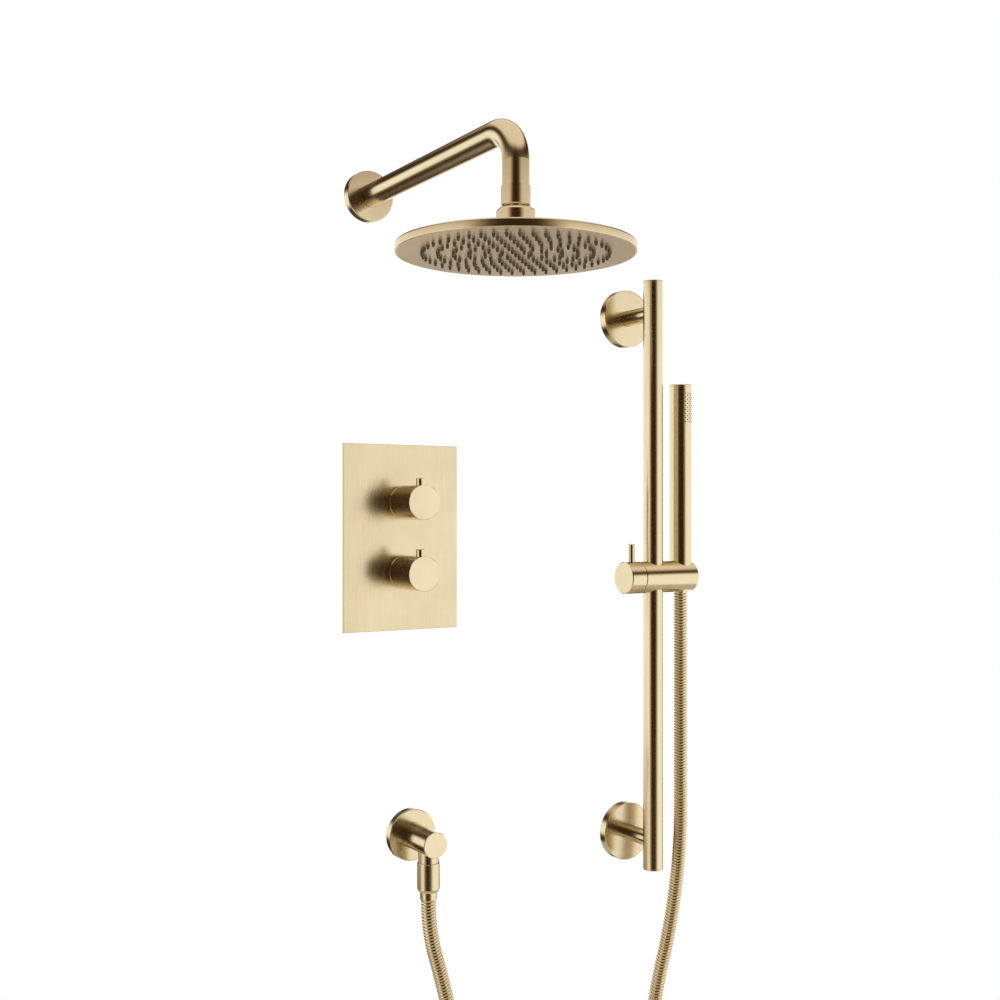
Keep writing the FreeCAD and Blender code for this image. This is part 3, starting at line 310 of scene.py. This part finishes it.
finishes = {
    "brassUp": metalMaterial("brassUp", brass, "up"),
    "brassOut": metalMaterial("brassOut", brass, "out"),
    "brassRound": metalMaterial("brassRound", brass, "around"),
    "brassRoundOut": metalMaterial("brassRoundOut", brass, "roundOut"),
    "brassRoundSide": metalMaterial("brassRoundSide", brass, "roundSide"),
    "brassPlate": metalMaterial("brassPlate", plateBrass, "up"),
    "faceMetal": metalMaterial("faceMetal", faceMetal, "side"),
    "hoseMetal": metalMaterial("hoseMetal", hoseMetal, "around"),
    "rawBrass": metalMaterial("rawBrass", rawBrass, "around"),
    "steel": metalMaterial("steel", steel, "out"),
    "whitePlastic": mouldedMaterial("whitePlastic", whitePlastic),
    "greyPlastic": mouldedMaterial("greyPlastic", greyPlastic),
    "blackRubber": mouldedMaterial("blackRubber", blackRubber),
    "nozzleRubber": mouldedMaterial("nozzleRubber", nozzleRubber),
}
print("materials built")

# CAD nodes that stay take their finish from their material, or their own from the second list
slotFinish = {
    "brushed_brass": "brassUp",
    "face_metal": "faceMetal",
    "raw_brass": "rawBrass",
    "steel": "steel",
    "white_plastic": "whitePlastic",
    "cartridge_plastic": "greyPlastic",
    "black_rubber": "blackRubber",
    "nozzle_silicone": "nozzleRubber",
    "hose_spiral": "hoseMetal",
}
ownFinish = {
    "arm_tube": "brassOut",
    "control_sleeves": "brassRoundOut",
    "flow_knob": "brassRoundOut",
    "temperature_knob": "brassRoundOut",
    "rail_posts": "brassRoundOut",
    "outlet_body": "brassRoundOut",
    "holder_body": "brassRoundSide",
    "clamp_bolt": "brassRoundSide",
    "clamp_knob": "brassRoundSide",
    "hose_nut": "brassRound",
    "hose_ferrule": "brassRound",
    "ball_connector": "brassRound",
    "socket_nut": "brassRound",
}
for name, node in nodes.items():
    if not node.data.materials:
        continue
    slotName = node.data.materials[0].name.split(".")[0]
    finish = ownFinish.get(name, slotFinish.get(slotName, "brassUp"))
    for place in node.material_slots:
        place.material = finishes[finish]

ways = {  # turns a piece that stands on Z so that it points this way
    "up": Matrix.Identity(4),
    "down": Matrix.Rotation(math.pi, 4, "X"),
    "room": Matrix.Rotation(math.pi / 2, 4, "X"),
    "wall": Matrix.Rotation(-math.pi / 2, 4, "X"),
    "right": Matrix.Rotation(math.pi / 2, 4, "Y"),
}


def boxOf(node):
    low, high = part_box(node)
    return low / mm, high / mm


def turnOutline(bm, outline, loop=False, steps=96, rounding=4):
    # the outline is (radius, height, rounding) points in order, rounded and then spun about Z
    verts = [bm.verts.new((point[0], 0, point[1])) for point in outline]
    pairs = list(zip(verts, verts[1:]))
    if loop:
        pairs.append((verts[-1], verts[0]))
    for pair in pairs:
        bm.edges.new(pair)
    for vert, point in zip(verts, outline):
        if len(point) > 2:
            bmesh.ops.bevel(
                bm,
                geom=[vert],
                offset=point[2],
                segments=rounding,
                profile=0.5,
                affect="VERTICES",
                material=-1,
            )
    geom = bm.verts[:] + bm.edges[:]
    bmesh.ops.spin(
        bm, geom=geom, cent=(0, 0, 0), axis=(0, 0, 1), angle=2 * math.pi, steps=steps, use_merge=True
    )
    bmesh.ops.remove_doubles(bm, verts=bm.verts[:], dist=1e-4)
    bmesh.ops.recalc_face_normals(bm, faces=bm.faces[:])


def placed(bm, at, way):
    bmesh.ops.transform(bm, matrix=Matrix.Translation(at) @ ways[way], verts=bm.verts[:])


def finishPiece(name, bm, body, finish, replaced, sharp=32):
    bmesh.ops.transform(bm, matrix=Matrix.Scale(mm, 4), verts=bm.verts[:])
    mesh = bpy.data.meshes.new(name)
    bm.to_mesh(mesh)
    bm.free()
    mesh.polygons.foreach_set("use_smooth", [True] * len(mesh.polygons))
    mesh.set_sharp_from_angle(angle=math.radians(sharp))
    mesh.materials.append(finishes[finish])
    piece = bpy.data.objects.new(name, mesh)
    scene.collection.objects.link(piece)
    even = piece.modifiers.new("evenNormals", "WEIGHTED_NORMAL")
    even.keep_sharp = True
    even.weight = 100
    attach(piece, body)
    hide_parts(*replaced)
    return piece


def turnedPiece(name, body, outline, at, way, finish, replaced, loop=False, steps=96):
    bm = bmesh.new()
    turnOutline(bm, outline, loop=loop, steps=steps)
    placed(bm, at, way)
    finishPiece(name, bm, body, finish, replaced)


# a spiral-wound metal hose along its route, in three pieces end to end
hose = {
    "radius": 7.5,
    "groove": 0.5,
    "pitch": 3.2,
    "edgeDrop": 0.12,
    "strip": ((0.16, 0.76), 0.45, 0.9),  # shares of the pitch: the edges, the crown, the foot
    "around": 22,
    "pathPoints": 160,
    "slideEnd": 1085,
    "swivelEnd": 1235,
}
hoseRoute = [
    (10.3, -42.2, -364.3),
    (10.3, -42.2, -396),
    (26.5, -42.6, -450),
    (46, -43.5, -533),
    (60, -44.5, -625),
    (69, -45.5, -724),
    (76, -46.5, -829),
    (110, -47.5, -876),
    (166, -49, -894),
    (222, -50.5, -877),
    (256, -51.5, -829),
    (265, -52.5, -712),
    (277, -53.5, -600),
    (293, -54.5, -505),
    (313, -55.2, -440),
    (326.9, -55.7, -352),
    (326.9, -55.7, -263),
    (326.9, -55.7, -63.8),
]


def routeLine(points):
    # the smooth line along the route, as points in millimetres
    curve = bpy.data.curves.new("hoseRoute", "CURVE")
    curve.dimensions = "3D"
    curve.resolution_u = 24
    spline = curve.splines.new("NURBS")
    spline.points.add(len(points) - 1)
    for point, at in zip(spline.points, points):
        point.co = (*at, 1)
    spline.order_u = 3
    spline.use_endpoint_u = True
    holder = bpy.data.objects.new("hoseRoute", curve)
    scene.collection.objects.link(holder)
    bpy.context.view_layer.update()
    mesh = bpy.data.meshes.new_from_object(holder.evaluated_get(bpy.context.evaluated_depsgraph_get()))
    line = [vert.co.copy() for vert in mesh.vertices]
    bpy.data.objects.remove(holder)
    bpy.data.curves.remove(curve)
    bpy.data.meshes.remove(mesh)
    return line


def lengthsAlong(line):
    lengths = [0.0]
    for before, after in zip(line, line[1:]):
        lengths.append(lengths[-1] + (after - before).length)
    return lengths


def framesAlong(line):
    # a side and a rise direction at each point, carried along without twist
    side = Vector((0, 1, 0))
    frames = []
    for i in range(len(line)):
        ahead = (line[min(i + 1, len(line) - 1)] - line[max(i - 1, 0)]).normalized()
        side = (side - ahead * side.dot(ahead)).normalized()
        frames.append((side, ahead.cross(side)))
    return frames


def bendAlong(bm, line, lengths, frames):
    # moves a straight piece that stands on Z so that its height runs along the line
    order = sorted(bm.verts, key=lambda vert: vert.co.z)
    i = 0
    for vert in order:
        while i < len(line) - 2 and lengths[i + 1] < vert.co.z:
            i += 1
        share = (vert.co.z - lengths[i]) / (lengths[i + 1] - lengths[i])
        at = line[i].lerp(line[i + 1], share)
        side = frames[i][0].lerp(frames[i + 1][0], share)
        rise = frames[i][1].lerp(frames[i + 1][1], share)
        vert.co = at + side * vert.co.x + rise * vert.co.y


def repeated(bm, count, rise):
    # the same piece stacked up Z again and again, each copy joined to the last
    mesh = bpy.data.meshes.new("oneTurn")
    bm.to_mesh(mesh)
    bm.clear()
    holder = bpy.data.objects.new("oneTurn", mesh)
    scene.collection.objects.link(holder)
    stack = holder.modifiers.new("stack", "ARRAY")
    stack.count = count
    stack.use_relative_offset = False
    stack.use_constant_offset = True
    stack.constant_offset_displace = (0, 0, rise)
    stack.use_merge_vertices = True
    stack.merge_threshold = 0.01
    bpy.context.view_layer.update()
    whole = bpy.data.meshes.new_from_object(holder.evaluated_get(bpy.context.evaluated_depsgraph_get()))
    bm.from_mesh(whole)
    bpy.data.objects.remove(holder)
    bpy.data.meshes.remove(mesh)
    bpy.data.meshes.remove(whole)


def spiralTube(settings, start, end):
    # one turn of the strip's outline is screwed up the axis, repeated, and cut square at both ends
    bm = bmesh.new()
    turns = round((end - start) / settings["pitch"])
    pitch, outer = (end - start) / turns, settings["radius"]
    inner, edge = outer - settings["groove"], outer - settings["edgeDrop"]
    (low, high), crown, foot = settings["strip"]
    outline = ((inner, 0), (edge, low), (outer, crown), (edge, high), (inner, foot), (inner, 1))
    verts = [bm.verts.new((radius, 0, start + (share - 1) * pitch)) for radius, share in outline]
    for pair in zip(verts, verts[1:]):
        bm.edges.new(pair)
    bmesh.ops.spin(
        bm,
        geom=bm.verts[:] + bm.edges[:],
        cent=(0, 0, 0),
        axis=(0, 0, 1),
        dvec=(0, 0, pitch / settings["around"]),
        angle=2 * math.pi,
        steps=settings["around"],
        use_merge=False,
    )
    repeated(bm, turns + 2, pitch)
    for height, side in ((start, -1), (end, 1)):
        bmesh.ops.bisect_plane(
            bm,
            geom=bm.verts[:] + bm.edges[:] + bm.faces[:],
            dist=1e-3,
            plane_co=(0, 0, height),
            plane_no=(0, 0, side),
            clear_outer=True,
        )
    bmesh.ops.holes_fill(bm, edges=[edge for edge in bm.edges if edge.is_boundary], sides=0)
    bmesh.ops.recalc_face_normals(bm, faces=bm.faces[:])
    return bm


hoseLine = routeLine(hoseRoute)
hoseLengths = lengthsAlong(hoseLine)
hoseFrames = framesAlong(hoseLine)
hoseTotal = hoseLengths[-1]
print("hose length", round(hoseTotal, 1))
hoseParts = [
    # name, start, end, bodies at both ends, fittings that belong to the piece
    ("hoseLoop", 0, hose["slideEnd"], "root", "rail_carriage", ["hose_nut", "hose_ferrule"]),
    ("hoseRise", hose["slideEnd"], hose["swivelEnd"], "rail_carriage", "holder", []),
    ("hoseTop", hose["swivelEnd"], hoseTotal, "holder", "hose_end", ["handset_cone_nut"]),
]


def makeHose():
    for name, start, end, low, high, others in hoseParts:
        bm = spiralTube(hose, start, end)
        bendAlong(bm, hoseLine, hoseLengths, hoseFrames)
        piece = finishPiece(name, bm, low, "hoseMetal", ["hose"], sharp=60)
        piece.parent = None
        del piece["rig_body"]
        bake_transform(piece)


makeHose()
print("hose made")

# round cups with a hole for the tube or post that passes through
roses = {
    "wall": 1.6,
    "frontRound": 1.0,
    "fine": 0.25,
    "gap": 0.05,
}


def makeRose(name, node, hole, at, radius, depth):
    wall, fine = roses["wall"], roses["fine"]
    outline = [
        (radius - wall, 0),
        (radius, 0, fine),
        (radius, depth, roses["frontRound"]),
        (hole, depth, fine),
        (hole, depth - wall),
        (radius - wall, depth - wall, fine),
    ]
    turnedPiece(name, "root", outline, at, "room", "brassRoundOut", [node], loop=True)


def makeRoses():
    for name, node, through in (
        ("armRose", "arm_flange", "arm_tube"),
        ("outletRose", "outlet_rosette", "outlet_body"),
    ):
        low, high = boxOf(node)
        inner, outer = boxOf(through)
        hole = (outer.x - inner.x) / 2 + roses["gap"]
        at = ((low.x + high.x) / 2, high.y, (low.z + high.z) / 2)
        makeRose(name, node, hole, at, (high.x - low.x) / 2, high.y - low.y)
    low, high = boxOf("rail_rosettes")
    radius = (high.x - low.x) / 2
    inner, outer = boxOf("rail_posts")
    hole = (outer.x - inner.x) / 2 + roses["gap"]
    for name, height in (("railRoseLower", low.z + radius), ("railRoseUpper", high.z - radius)):
        makeRose(name, "rail_rosettes", hole, ((low.x + high.x) / 2, high.y, height), radius, high.y - low.y)


makeRoses()
print("roses made")

shell = {  # the overhead shower's shell
    "hole": 8.2,
    "skin": 1.6,
    "rim": 1.8,
    "lowRound": 0.6,
    "topRound": 1.4,
    "fine": 0.25,
    "steps": 192,
}
nozzles = {
    "rings": 6,
    "moreEachRing": 8,
    "pitch": 12.9,
    "base": 1.6,
    "tip": 1.15,
    "out": 3.0,
    "root": 1.0,
    "around": 8,
    "tipRound": 0.4,
    "jetRim": 0.28,
    "jetDeep": 0.5,
    "padThick": 1.4,
    "padRound": 0.3,
}


def makeShell(settings):
    low, high = boxOf("head_shell")
    radius, thick = (high.x - low.x) / 2, high.z - low.z
    inside = radius - settings["rim"]
    outline = [
        (settings["hole"], thick - settings["skin"]),
        (inside, thick - settings["skin"], settings["fine"]),
        (inside, 0, settings["fine"]),
        (radius, 0, settings["lowRound"]),
        (radius, thick, settings["topRound"]),
        (settings["hole"], thick),
    ]
    at = ((low.x + high.x) / 2, (low.y + high.y) / 2, low.z)
    steps = settings["steps"]
    turnedPiece("headShell", "overhead_shower", outline, at, "up", "brassRound", ["head_shell"], True, steps)


def oneNozzle(settings):
    # one rubber nozzle that points down, with an eased tip round a sunk jet
    bm = bmesh.new()
    bmesh.ops.create_cone(
        bm,
        cap_ends=True,
        segments=settings["around"],
        radius1=settings["tip"],
        radius2=settings["base"],
        depth=settings["out"] + settings["root"],
    )
    bmesh.ops.translate(bm, vec=(0, 0, (settings["root"] - settings["out"]) / 2), verts=bm.verts[:])
    tip = min(bm.faces, key=lambda face: face.calc_center_median().z)
    bmesh.ops.bevel(
        bm,
        geom=list(tip.edges),
        offset=settings["tipRound"],
        segments=1,
        profile=0.5,
        affect="EDGES",
        material=-1,
    )
    tip = min(bm.faces, key=lambda face: face.calc_center_median().z)
    bmesh.ops.inset_region(bm, faces=[tip], thickness=settings["jetRim"])
    bmesh.ops.translate(bm, vec=(0, 0, settings["jetDeep"]), verts=list(tip.verts))
    mesh = bpy.data.meshes.new("oneNozzle")
    bm.to_mesh(mesh)
    bm.free()
    return mesh


def makeNozzles(settings):
    low, high = boxOf("nozzle_mat")
    centre = ((low.x + high.x) / 2, (low.y + high.y) / 2)
    padLow = high.z - settings["padThick"]
    faceLow = boxOf("head_face_plate")[0].z
    nozzle = oneNozzle(settings)
    bm = bmesh.new()
    for ring in range(settings["rings"] + 1):
        count = max(1, ring * settings["moreEachRing"])
        for i in range(count):
            turn = 2 * math.pi * i / count
            out = ring * settings["pitch"]
            at = (centre[0] + out * math.cos(turn), centre[1] + out * math.sin(turn), faceLow)
            made = len(bm.verts)
            bm.from_mesh(nozzle)
            bm.verts.ensure_lookup_table()
            bmesh.ops.translate(bm, vec=at, verts=bm.verts[made:])
    bpy.data.meshes.remove(nozzle)
    bmesh.ops.recalc_face_normals(bm, faces=bm.faces[:])
    finishPiece("nozzles", bm, "overhead_shower", "nozzleRubber", ["nozzle_mat"], sharp=50)
    pad = bmesh.new()
    radius = (high.x - low.x) / 2
    thick, ease = settings["padThick"], settings["padRound"]
    turnOutline(pad, [(0, 0), (radius, 0, ease), (radius, thick, ease), (0, thick)])
    placed(pad, (*centre, padLow), "up")
    finishPiece("nozzlePad", pad, "overhead_shower", "nozzleRubber", ["nozzle_mat"])


makeShell(shell)
makeNozzles(nozzles)
print("overhead shower made")

# the cover plate is a thin pan with eased edges and a hole for each control
plate = {
    "skin": 1.5,
    "edgeRound": 0.55,
    "hole": 15.7,
    "holeSteps": 96,
    "past": 2,  # how far a cut runs past the back
    "holeDeep": 20,
    "knobs": ("flow_knob", "temperature_knob"),
}


def solved(bm, cutters):
    # the mesh with the cutters taken out of it, through the Boolean modifier
    things = []
    for tool in [bm, *cutters]:
        mesh = bpy.data.meshes.new("carving")
        tool.to_mesh(mesh)
        thing = bpy.data.objects.new("carving", mesh)
        scene.collection.objects.link(thing)
        things.append(thing)
        tool.free()
    for cutter in things[1:]:
        cut = things[0].modifiers.new("cut", "BOOLEAN")
        cut.operation = "DIFFERENCE"
        cut.solver = "EXACT"
        cut.object = cutter
    bpy.context.view_layer.update()
    mesh = bpy.data.meshes.new_from_object(things[0].evaluated_get(bpy.context.evaluated_depsgraph_get()))
    whole = bmesh.new()
    whole.from_mesh(mesh)
    for thing in things:
        bpy.data.objects.remove(thing)
    return whole


def boxMesh(low, high):
    bm = bmesh.new()
    bmesh.ops.create_cube(bm, size=1)
    bmesh.ops.scale(bm, vec=high - low, verts=bm.verts[:])
    bmesh.ops.translate(bm, vec=(low + high) / 2, verts=bm.verts[:])
    return bm


def makePlate(settings):
    low, high = boxOf("cover_plate")
    solid = boxMesh(low, high)
    back = high.y - settings["skin"]
    front = [edge for edge in solid.edges if not all(vert.co.y > back for vert in edge.verts)]
    bmesh.ops.bevel(
        solid, geom=front, offset=settings["edgeRound"], segments=3, profile=0.5, affect="EDGES", material=-1
    )
    skin = Vector((settings["skin"],) * 3)
    cutters = [boxMesh(low + skin, Vector((high.x - skin.x, high.y + settings["past"], high.z - skin.z)))]
    for knob in settings["knobs"]:
        knobLow, knobHigh = boxOf(knob)
        hole = bmesh.new()
        bmesh.ops.create_cone(
            hole,
            cap_ends=True,
            segments=settings["holeSteps"],
            radius1=settings["hole"],
            radius2=settings["hole"],
            depth=settings["holeDeep"],
        )
        placed(hole, (0, 0, (knobLow.z + knobHigh.z) / 2), "room")
        cutters.append(hole)
    finishPiece("coverPlate", solved(solid, cutters), "root", "brassPlate", ["cover_plate"])


makePlate(plate)
print("cover plate made")

rounds = {  # roundings and walls of the rail, its caps, the stop buttons, the lever and the hand shower's cap
    "railCap": 0.7,
    "railEdge": 0.15,
    "railWall": 1.2,
    "railPlug": 8,
    "plugGap": 0.05,
    "button": 0.6,
    "lever": 0.9,
    "handsetCap": 0.9,
    "handsetEdge": 0.2,
    "handsetWall": 1.55,
    "handsetPlug": 6,
    "fine": 0.3,
    "smallSteps": 48,
}


def spanOf(node, way):
    # where a round node starts, its radius and its length, for a piece that points the given way
    low, high = boxOf(node)
    middle = (low + high) / 2
    axis = {"up": "z", "down": "z", "room": "y", "right": "x"}[way]
    across = "x" if axis != "x" else "y"
    start = {"up": low.z, "down": high.z, "room": high.y, "right": low.x}[way]
    setattr(middle, axis, start)
    radius = (getattr(high, across) - getattr(low, across)) / 2
    return middle, radius, getattr(high, axis) - getattr(low, axis)


def makeRail():
    at, radius, length = spanOf("rail_tube", "up")
    inner, edge = radius - rounds["railWall"], rounds["railEdge"]
    outline = [(inner, 0), (radius, 0, edge), (radius, length, edge), (inner, length)]
    turnedPiece("railTube", "root", outline, at, "up", "brassUp", ["rail_tube"], loop=True)
    low, high = boxOf("rail_caps")
    plug, deep = inner - rounds["plugGap"], rounds["railPlug"]
    for name, way, start, thick in (
        ("railCapLower", "down", at.z, at.z - low.z),
        ("railCapUpper", "up", at.z + length, high.z - at.z - length),
    ):
        outline = [
            (0, -deep),
            (plug, -deep, rounds["fine"]),
            (plug, 0),
            (radius, 0, edge),
            (radius, thick, rounds["railCap"]),
            (0, thick),
        ]
        turnedPiece(name, "root", outline, (at.x, at.y, start), way, "brassRound", ["rail_caps"])


def makeSmallRounds():
    for node, body, piece, rounding in (
        ("flow_stop_button", "flow_button", "flowStopButton", "button"),
        ("temperature_stop_button", "temperature_button", "temperatureStopButton", "button"),
        ("clamp_lever", "clamp", "clampLever", "lever"),
    ):
        at, radius, length = spanOf(node, "up")
        outline = [(0, 0), (radius, 0, rounds["fine"]), (radius, length, rounds[rounding]), (0, length)]
        turnedPiece(piece, body, outline, at, "up", "brassRound", [node], steps=rounds["smallSteps"])
    at, radius, length = spanOf("handset_cap", "up")
    plug, step = radius - rounds["handsetWall"], rounds["handsetPlug"]
    outline = [
        (0, 0),
        (plug, 0, rounds["fine"]),
        (plug, step),
        (radius, step, rounds["handsetEdge"]),
        (radius, length, rounds["handsetCap"]),
        (0, length),
    ]
    turnedPiece("handsetCap", "handset", outline, at, "up", "brassRound", ["handset_cap"])


makeRail()
makeSmallRounds()
print("rail and small round pieces made")

stage = {
    "floorMiddle": (0.1, -0.15, -1.1),
    "floorRadius": 1.35,
    "floorSteps": 128,
    "floorColour": (0.86, 0.86, 0.85),
    "floorRough": 0.7,
    "wallHalf": 2.2,
    "wallBehind": 0.0006,
}


def makeFloor(settings):
    bm = bmesh.new()
    radius, steps = settings["floorRadius"], settings["floorSteps"]
    bmesh.ops.create_circle(bm, cap_ends=True, radius=radius, segments=steps)
    bmesh.ops.translate(bm, vec=settings["floorMiddle"], verts=bm.verts[:])
    mesh = bpy.data.meshes.new("floor")
    bm.to_mesh(mesh)
    bm.free()
    floor = bpy.data.objects.new("floor", mesh)
    material = bpy.data.materials.new("paleFloor")
    material.use_nodes = True
    shader = material.node_tree.nodes["Principled BSDF"]
    shader.inputs["Base Color"].default_value = (*settings["floorColour"], 1)
    shader.inputs["Roughness"].default_value = settings["floorRough"]
    mesh.materials.append(material)
    scene.collection.objects.link(floor)


# what the metal reflects: a bright studio with a dark ring above the horizon, one below it toward the
# wall, and a dark patch on the side the camera looks from
studio = {
    "bright": 1.14,
    "ringInto": (0.16, 0.38),  # heights between which the upper ring darkens
    "ringOut": (0.50, 0.70),
    "above": 0.25,  # how dark it stays over the ring
    "underInto": (-0.75, -0.50),
    "underOut": (-0.34, -0.14),
    "underWall": (0.0, 0.5),
    "patch": (-0.53, -0.85, 0.0),
    "patchEdges": (0.54, 0.94),  # cosines where it fades out and where its core starts
    "colours": ((0.0, (1, 1, 1)), (0.5, (0.60, 0.48, 0.35)), (1.0, (0.028, 0.013, 0.003))),
}


def makeWorld(settings):
    world = bpy.data.worlds.new("studio")
    scene.world = world
    world.use_nodes = True
    tree = world.node_tree
    tree.nodes.clear()
    coords = addNode(tree, "ShaderNodeTexCoord").outputs["Generated"]
    split = addNode(tree, "ShaderNodeSeparateXYZ")
    tree.links.new(coords, split.inputs[0])
    rise, toWall = split.outputs["Z"], split.outputs["Y"]
    into = mapRange(tree, rise, *settings["ringInto"], 0.0, 1.0, True)
    out = mapRange(tree, rise, *settings["ringOut"], 1.0, settings["above"], True)
    upper = mathNode(tree, "MULTIPLY", into, out)
    underInto = mapRange(tree, rise, *settings["underInto"], 0.0, 1.0, True)
    underOut = mapRange(tree, rise, *settings["underOut"], 1.0, 0.0, True)
    under = mathNode(tree, "MULTIPLY", underInto, underOut)
    wallSide = mapRange(tree, toWall, *settings["underWall"], 0.0, 1.0, True)
    lower = mathNode(tree, "MULTIPLY", under, wallSide)
    dot = addNode(tree, "ShaderNodeVectorMath", operation="DOT_PRODUCT")
    tree.links.new(coords, dot.inputs[0])
    dot.inputs[1].default_value = Vector(settings["patch"]).normalized()
    patch = mapRange(tree, dot.outputs["Value"], *settings["patchEdges"], 0.0, 1.0, True)
    dark = mathNode(tree, "MAXIMUM", mathNode(tree, "MAXIMUM", upper, lower), patch)
    ramp = addNode(tree, "ShaderNodeValToRGB")
    for i, (position, colour) in enumerate(settings["colours"]):
        if i > 1:
            ramp.color_ramp.elements.new(position)
        ramp.color_ramp.elements[i].position = position
        ramp.color_ramp.elements[i].color = (*colour, 1)
    tree.links.new(dark, ramp.inputs["Fac"])
    seen = addNode(tree, "ShaderNodeLightPath").outputs["Is Camera Ray"]
    colour = mixColours(tree, seen, ramp.outputs["Color"], (1, 1, 1))
    light = addNode(tree, "ShaderNodeBackground")
    tree.links.new(colour, light.inputs["Color"])
    light.inputs["Strength"].default_value = settings["bright"]
    leave = addNode(tree, "ShaderNodeOutputWorld")
    tree.links.new(light.outputs[0], leave.inputs["Surface"])


def mathNode(tree, operation, first, second):
    node = addNode(tree, "ShaderNodeMath", operation=operation)
    tree.links.new(first, node.inputs[0])
    tree.links.new(second, node.inputs[1])
    return node.outputs[0]


def makeWall(settings):
    # a white wall that only the camera sees, and only from the room
    bm = bmesh.new()
    bmesh.ops.create_grid(bm, x_segments=1, y_segments=1, size=settings["wallHalf"])
    placed(bm, (0, settings["wallBehind"], 0), "room")
    mesh = bpy.data.meshes.new("wall")
    bm.to_mesh(mesh)
    bm.free()
    material = bpy.data.materials.new("whiteWall")
    material.use_nodes = True
    tree = material.node_tree
    tree.nodes.clear()
    glow = addNode(tree, "ShaderNodeEmission")
    clear = addNode(tree, "ShaderNodeBsdfTransparent")
    choose = addNode(tree, "ShaderNodeMixShader")
    tree.links.new(addNode(tree, "ShaderNodeNewGeometry").outputs["Backfacing"], choose.inputs[0])
    tree.links.new(glow.outputs[0], choose.inputs[1])
    tree.links.new(clear.outputs[0], choose.inputs[2])
    tree.links.new(choose.outputs[0], addNode(tree, "ShaderNodeOutputMaterial").inputs["Surface"])
    mesh.materials.append(material)
    wall = bpy.data.objects.new("wall", mesh)
    scene.collection.objects.link(wall)
    wall.visible_diffuse = False
    wall.visible_glossy = False
    wall.visible_transmission = False
    wall.visible_shadow = False


makeFloor(stage)
makeWall(stage)
makeWorld(studio)
scene.view_settings.view_transform = "Standard"
print("stage set")
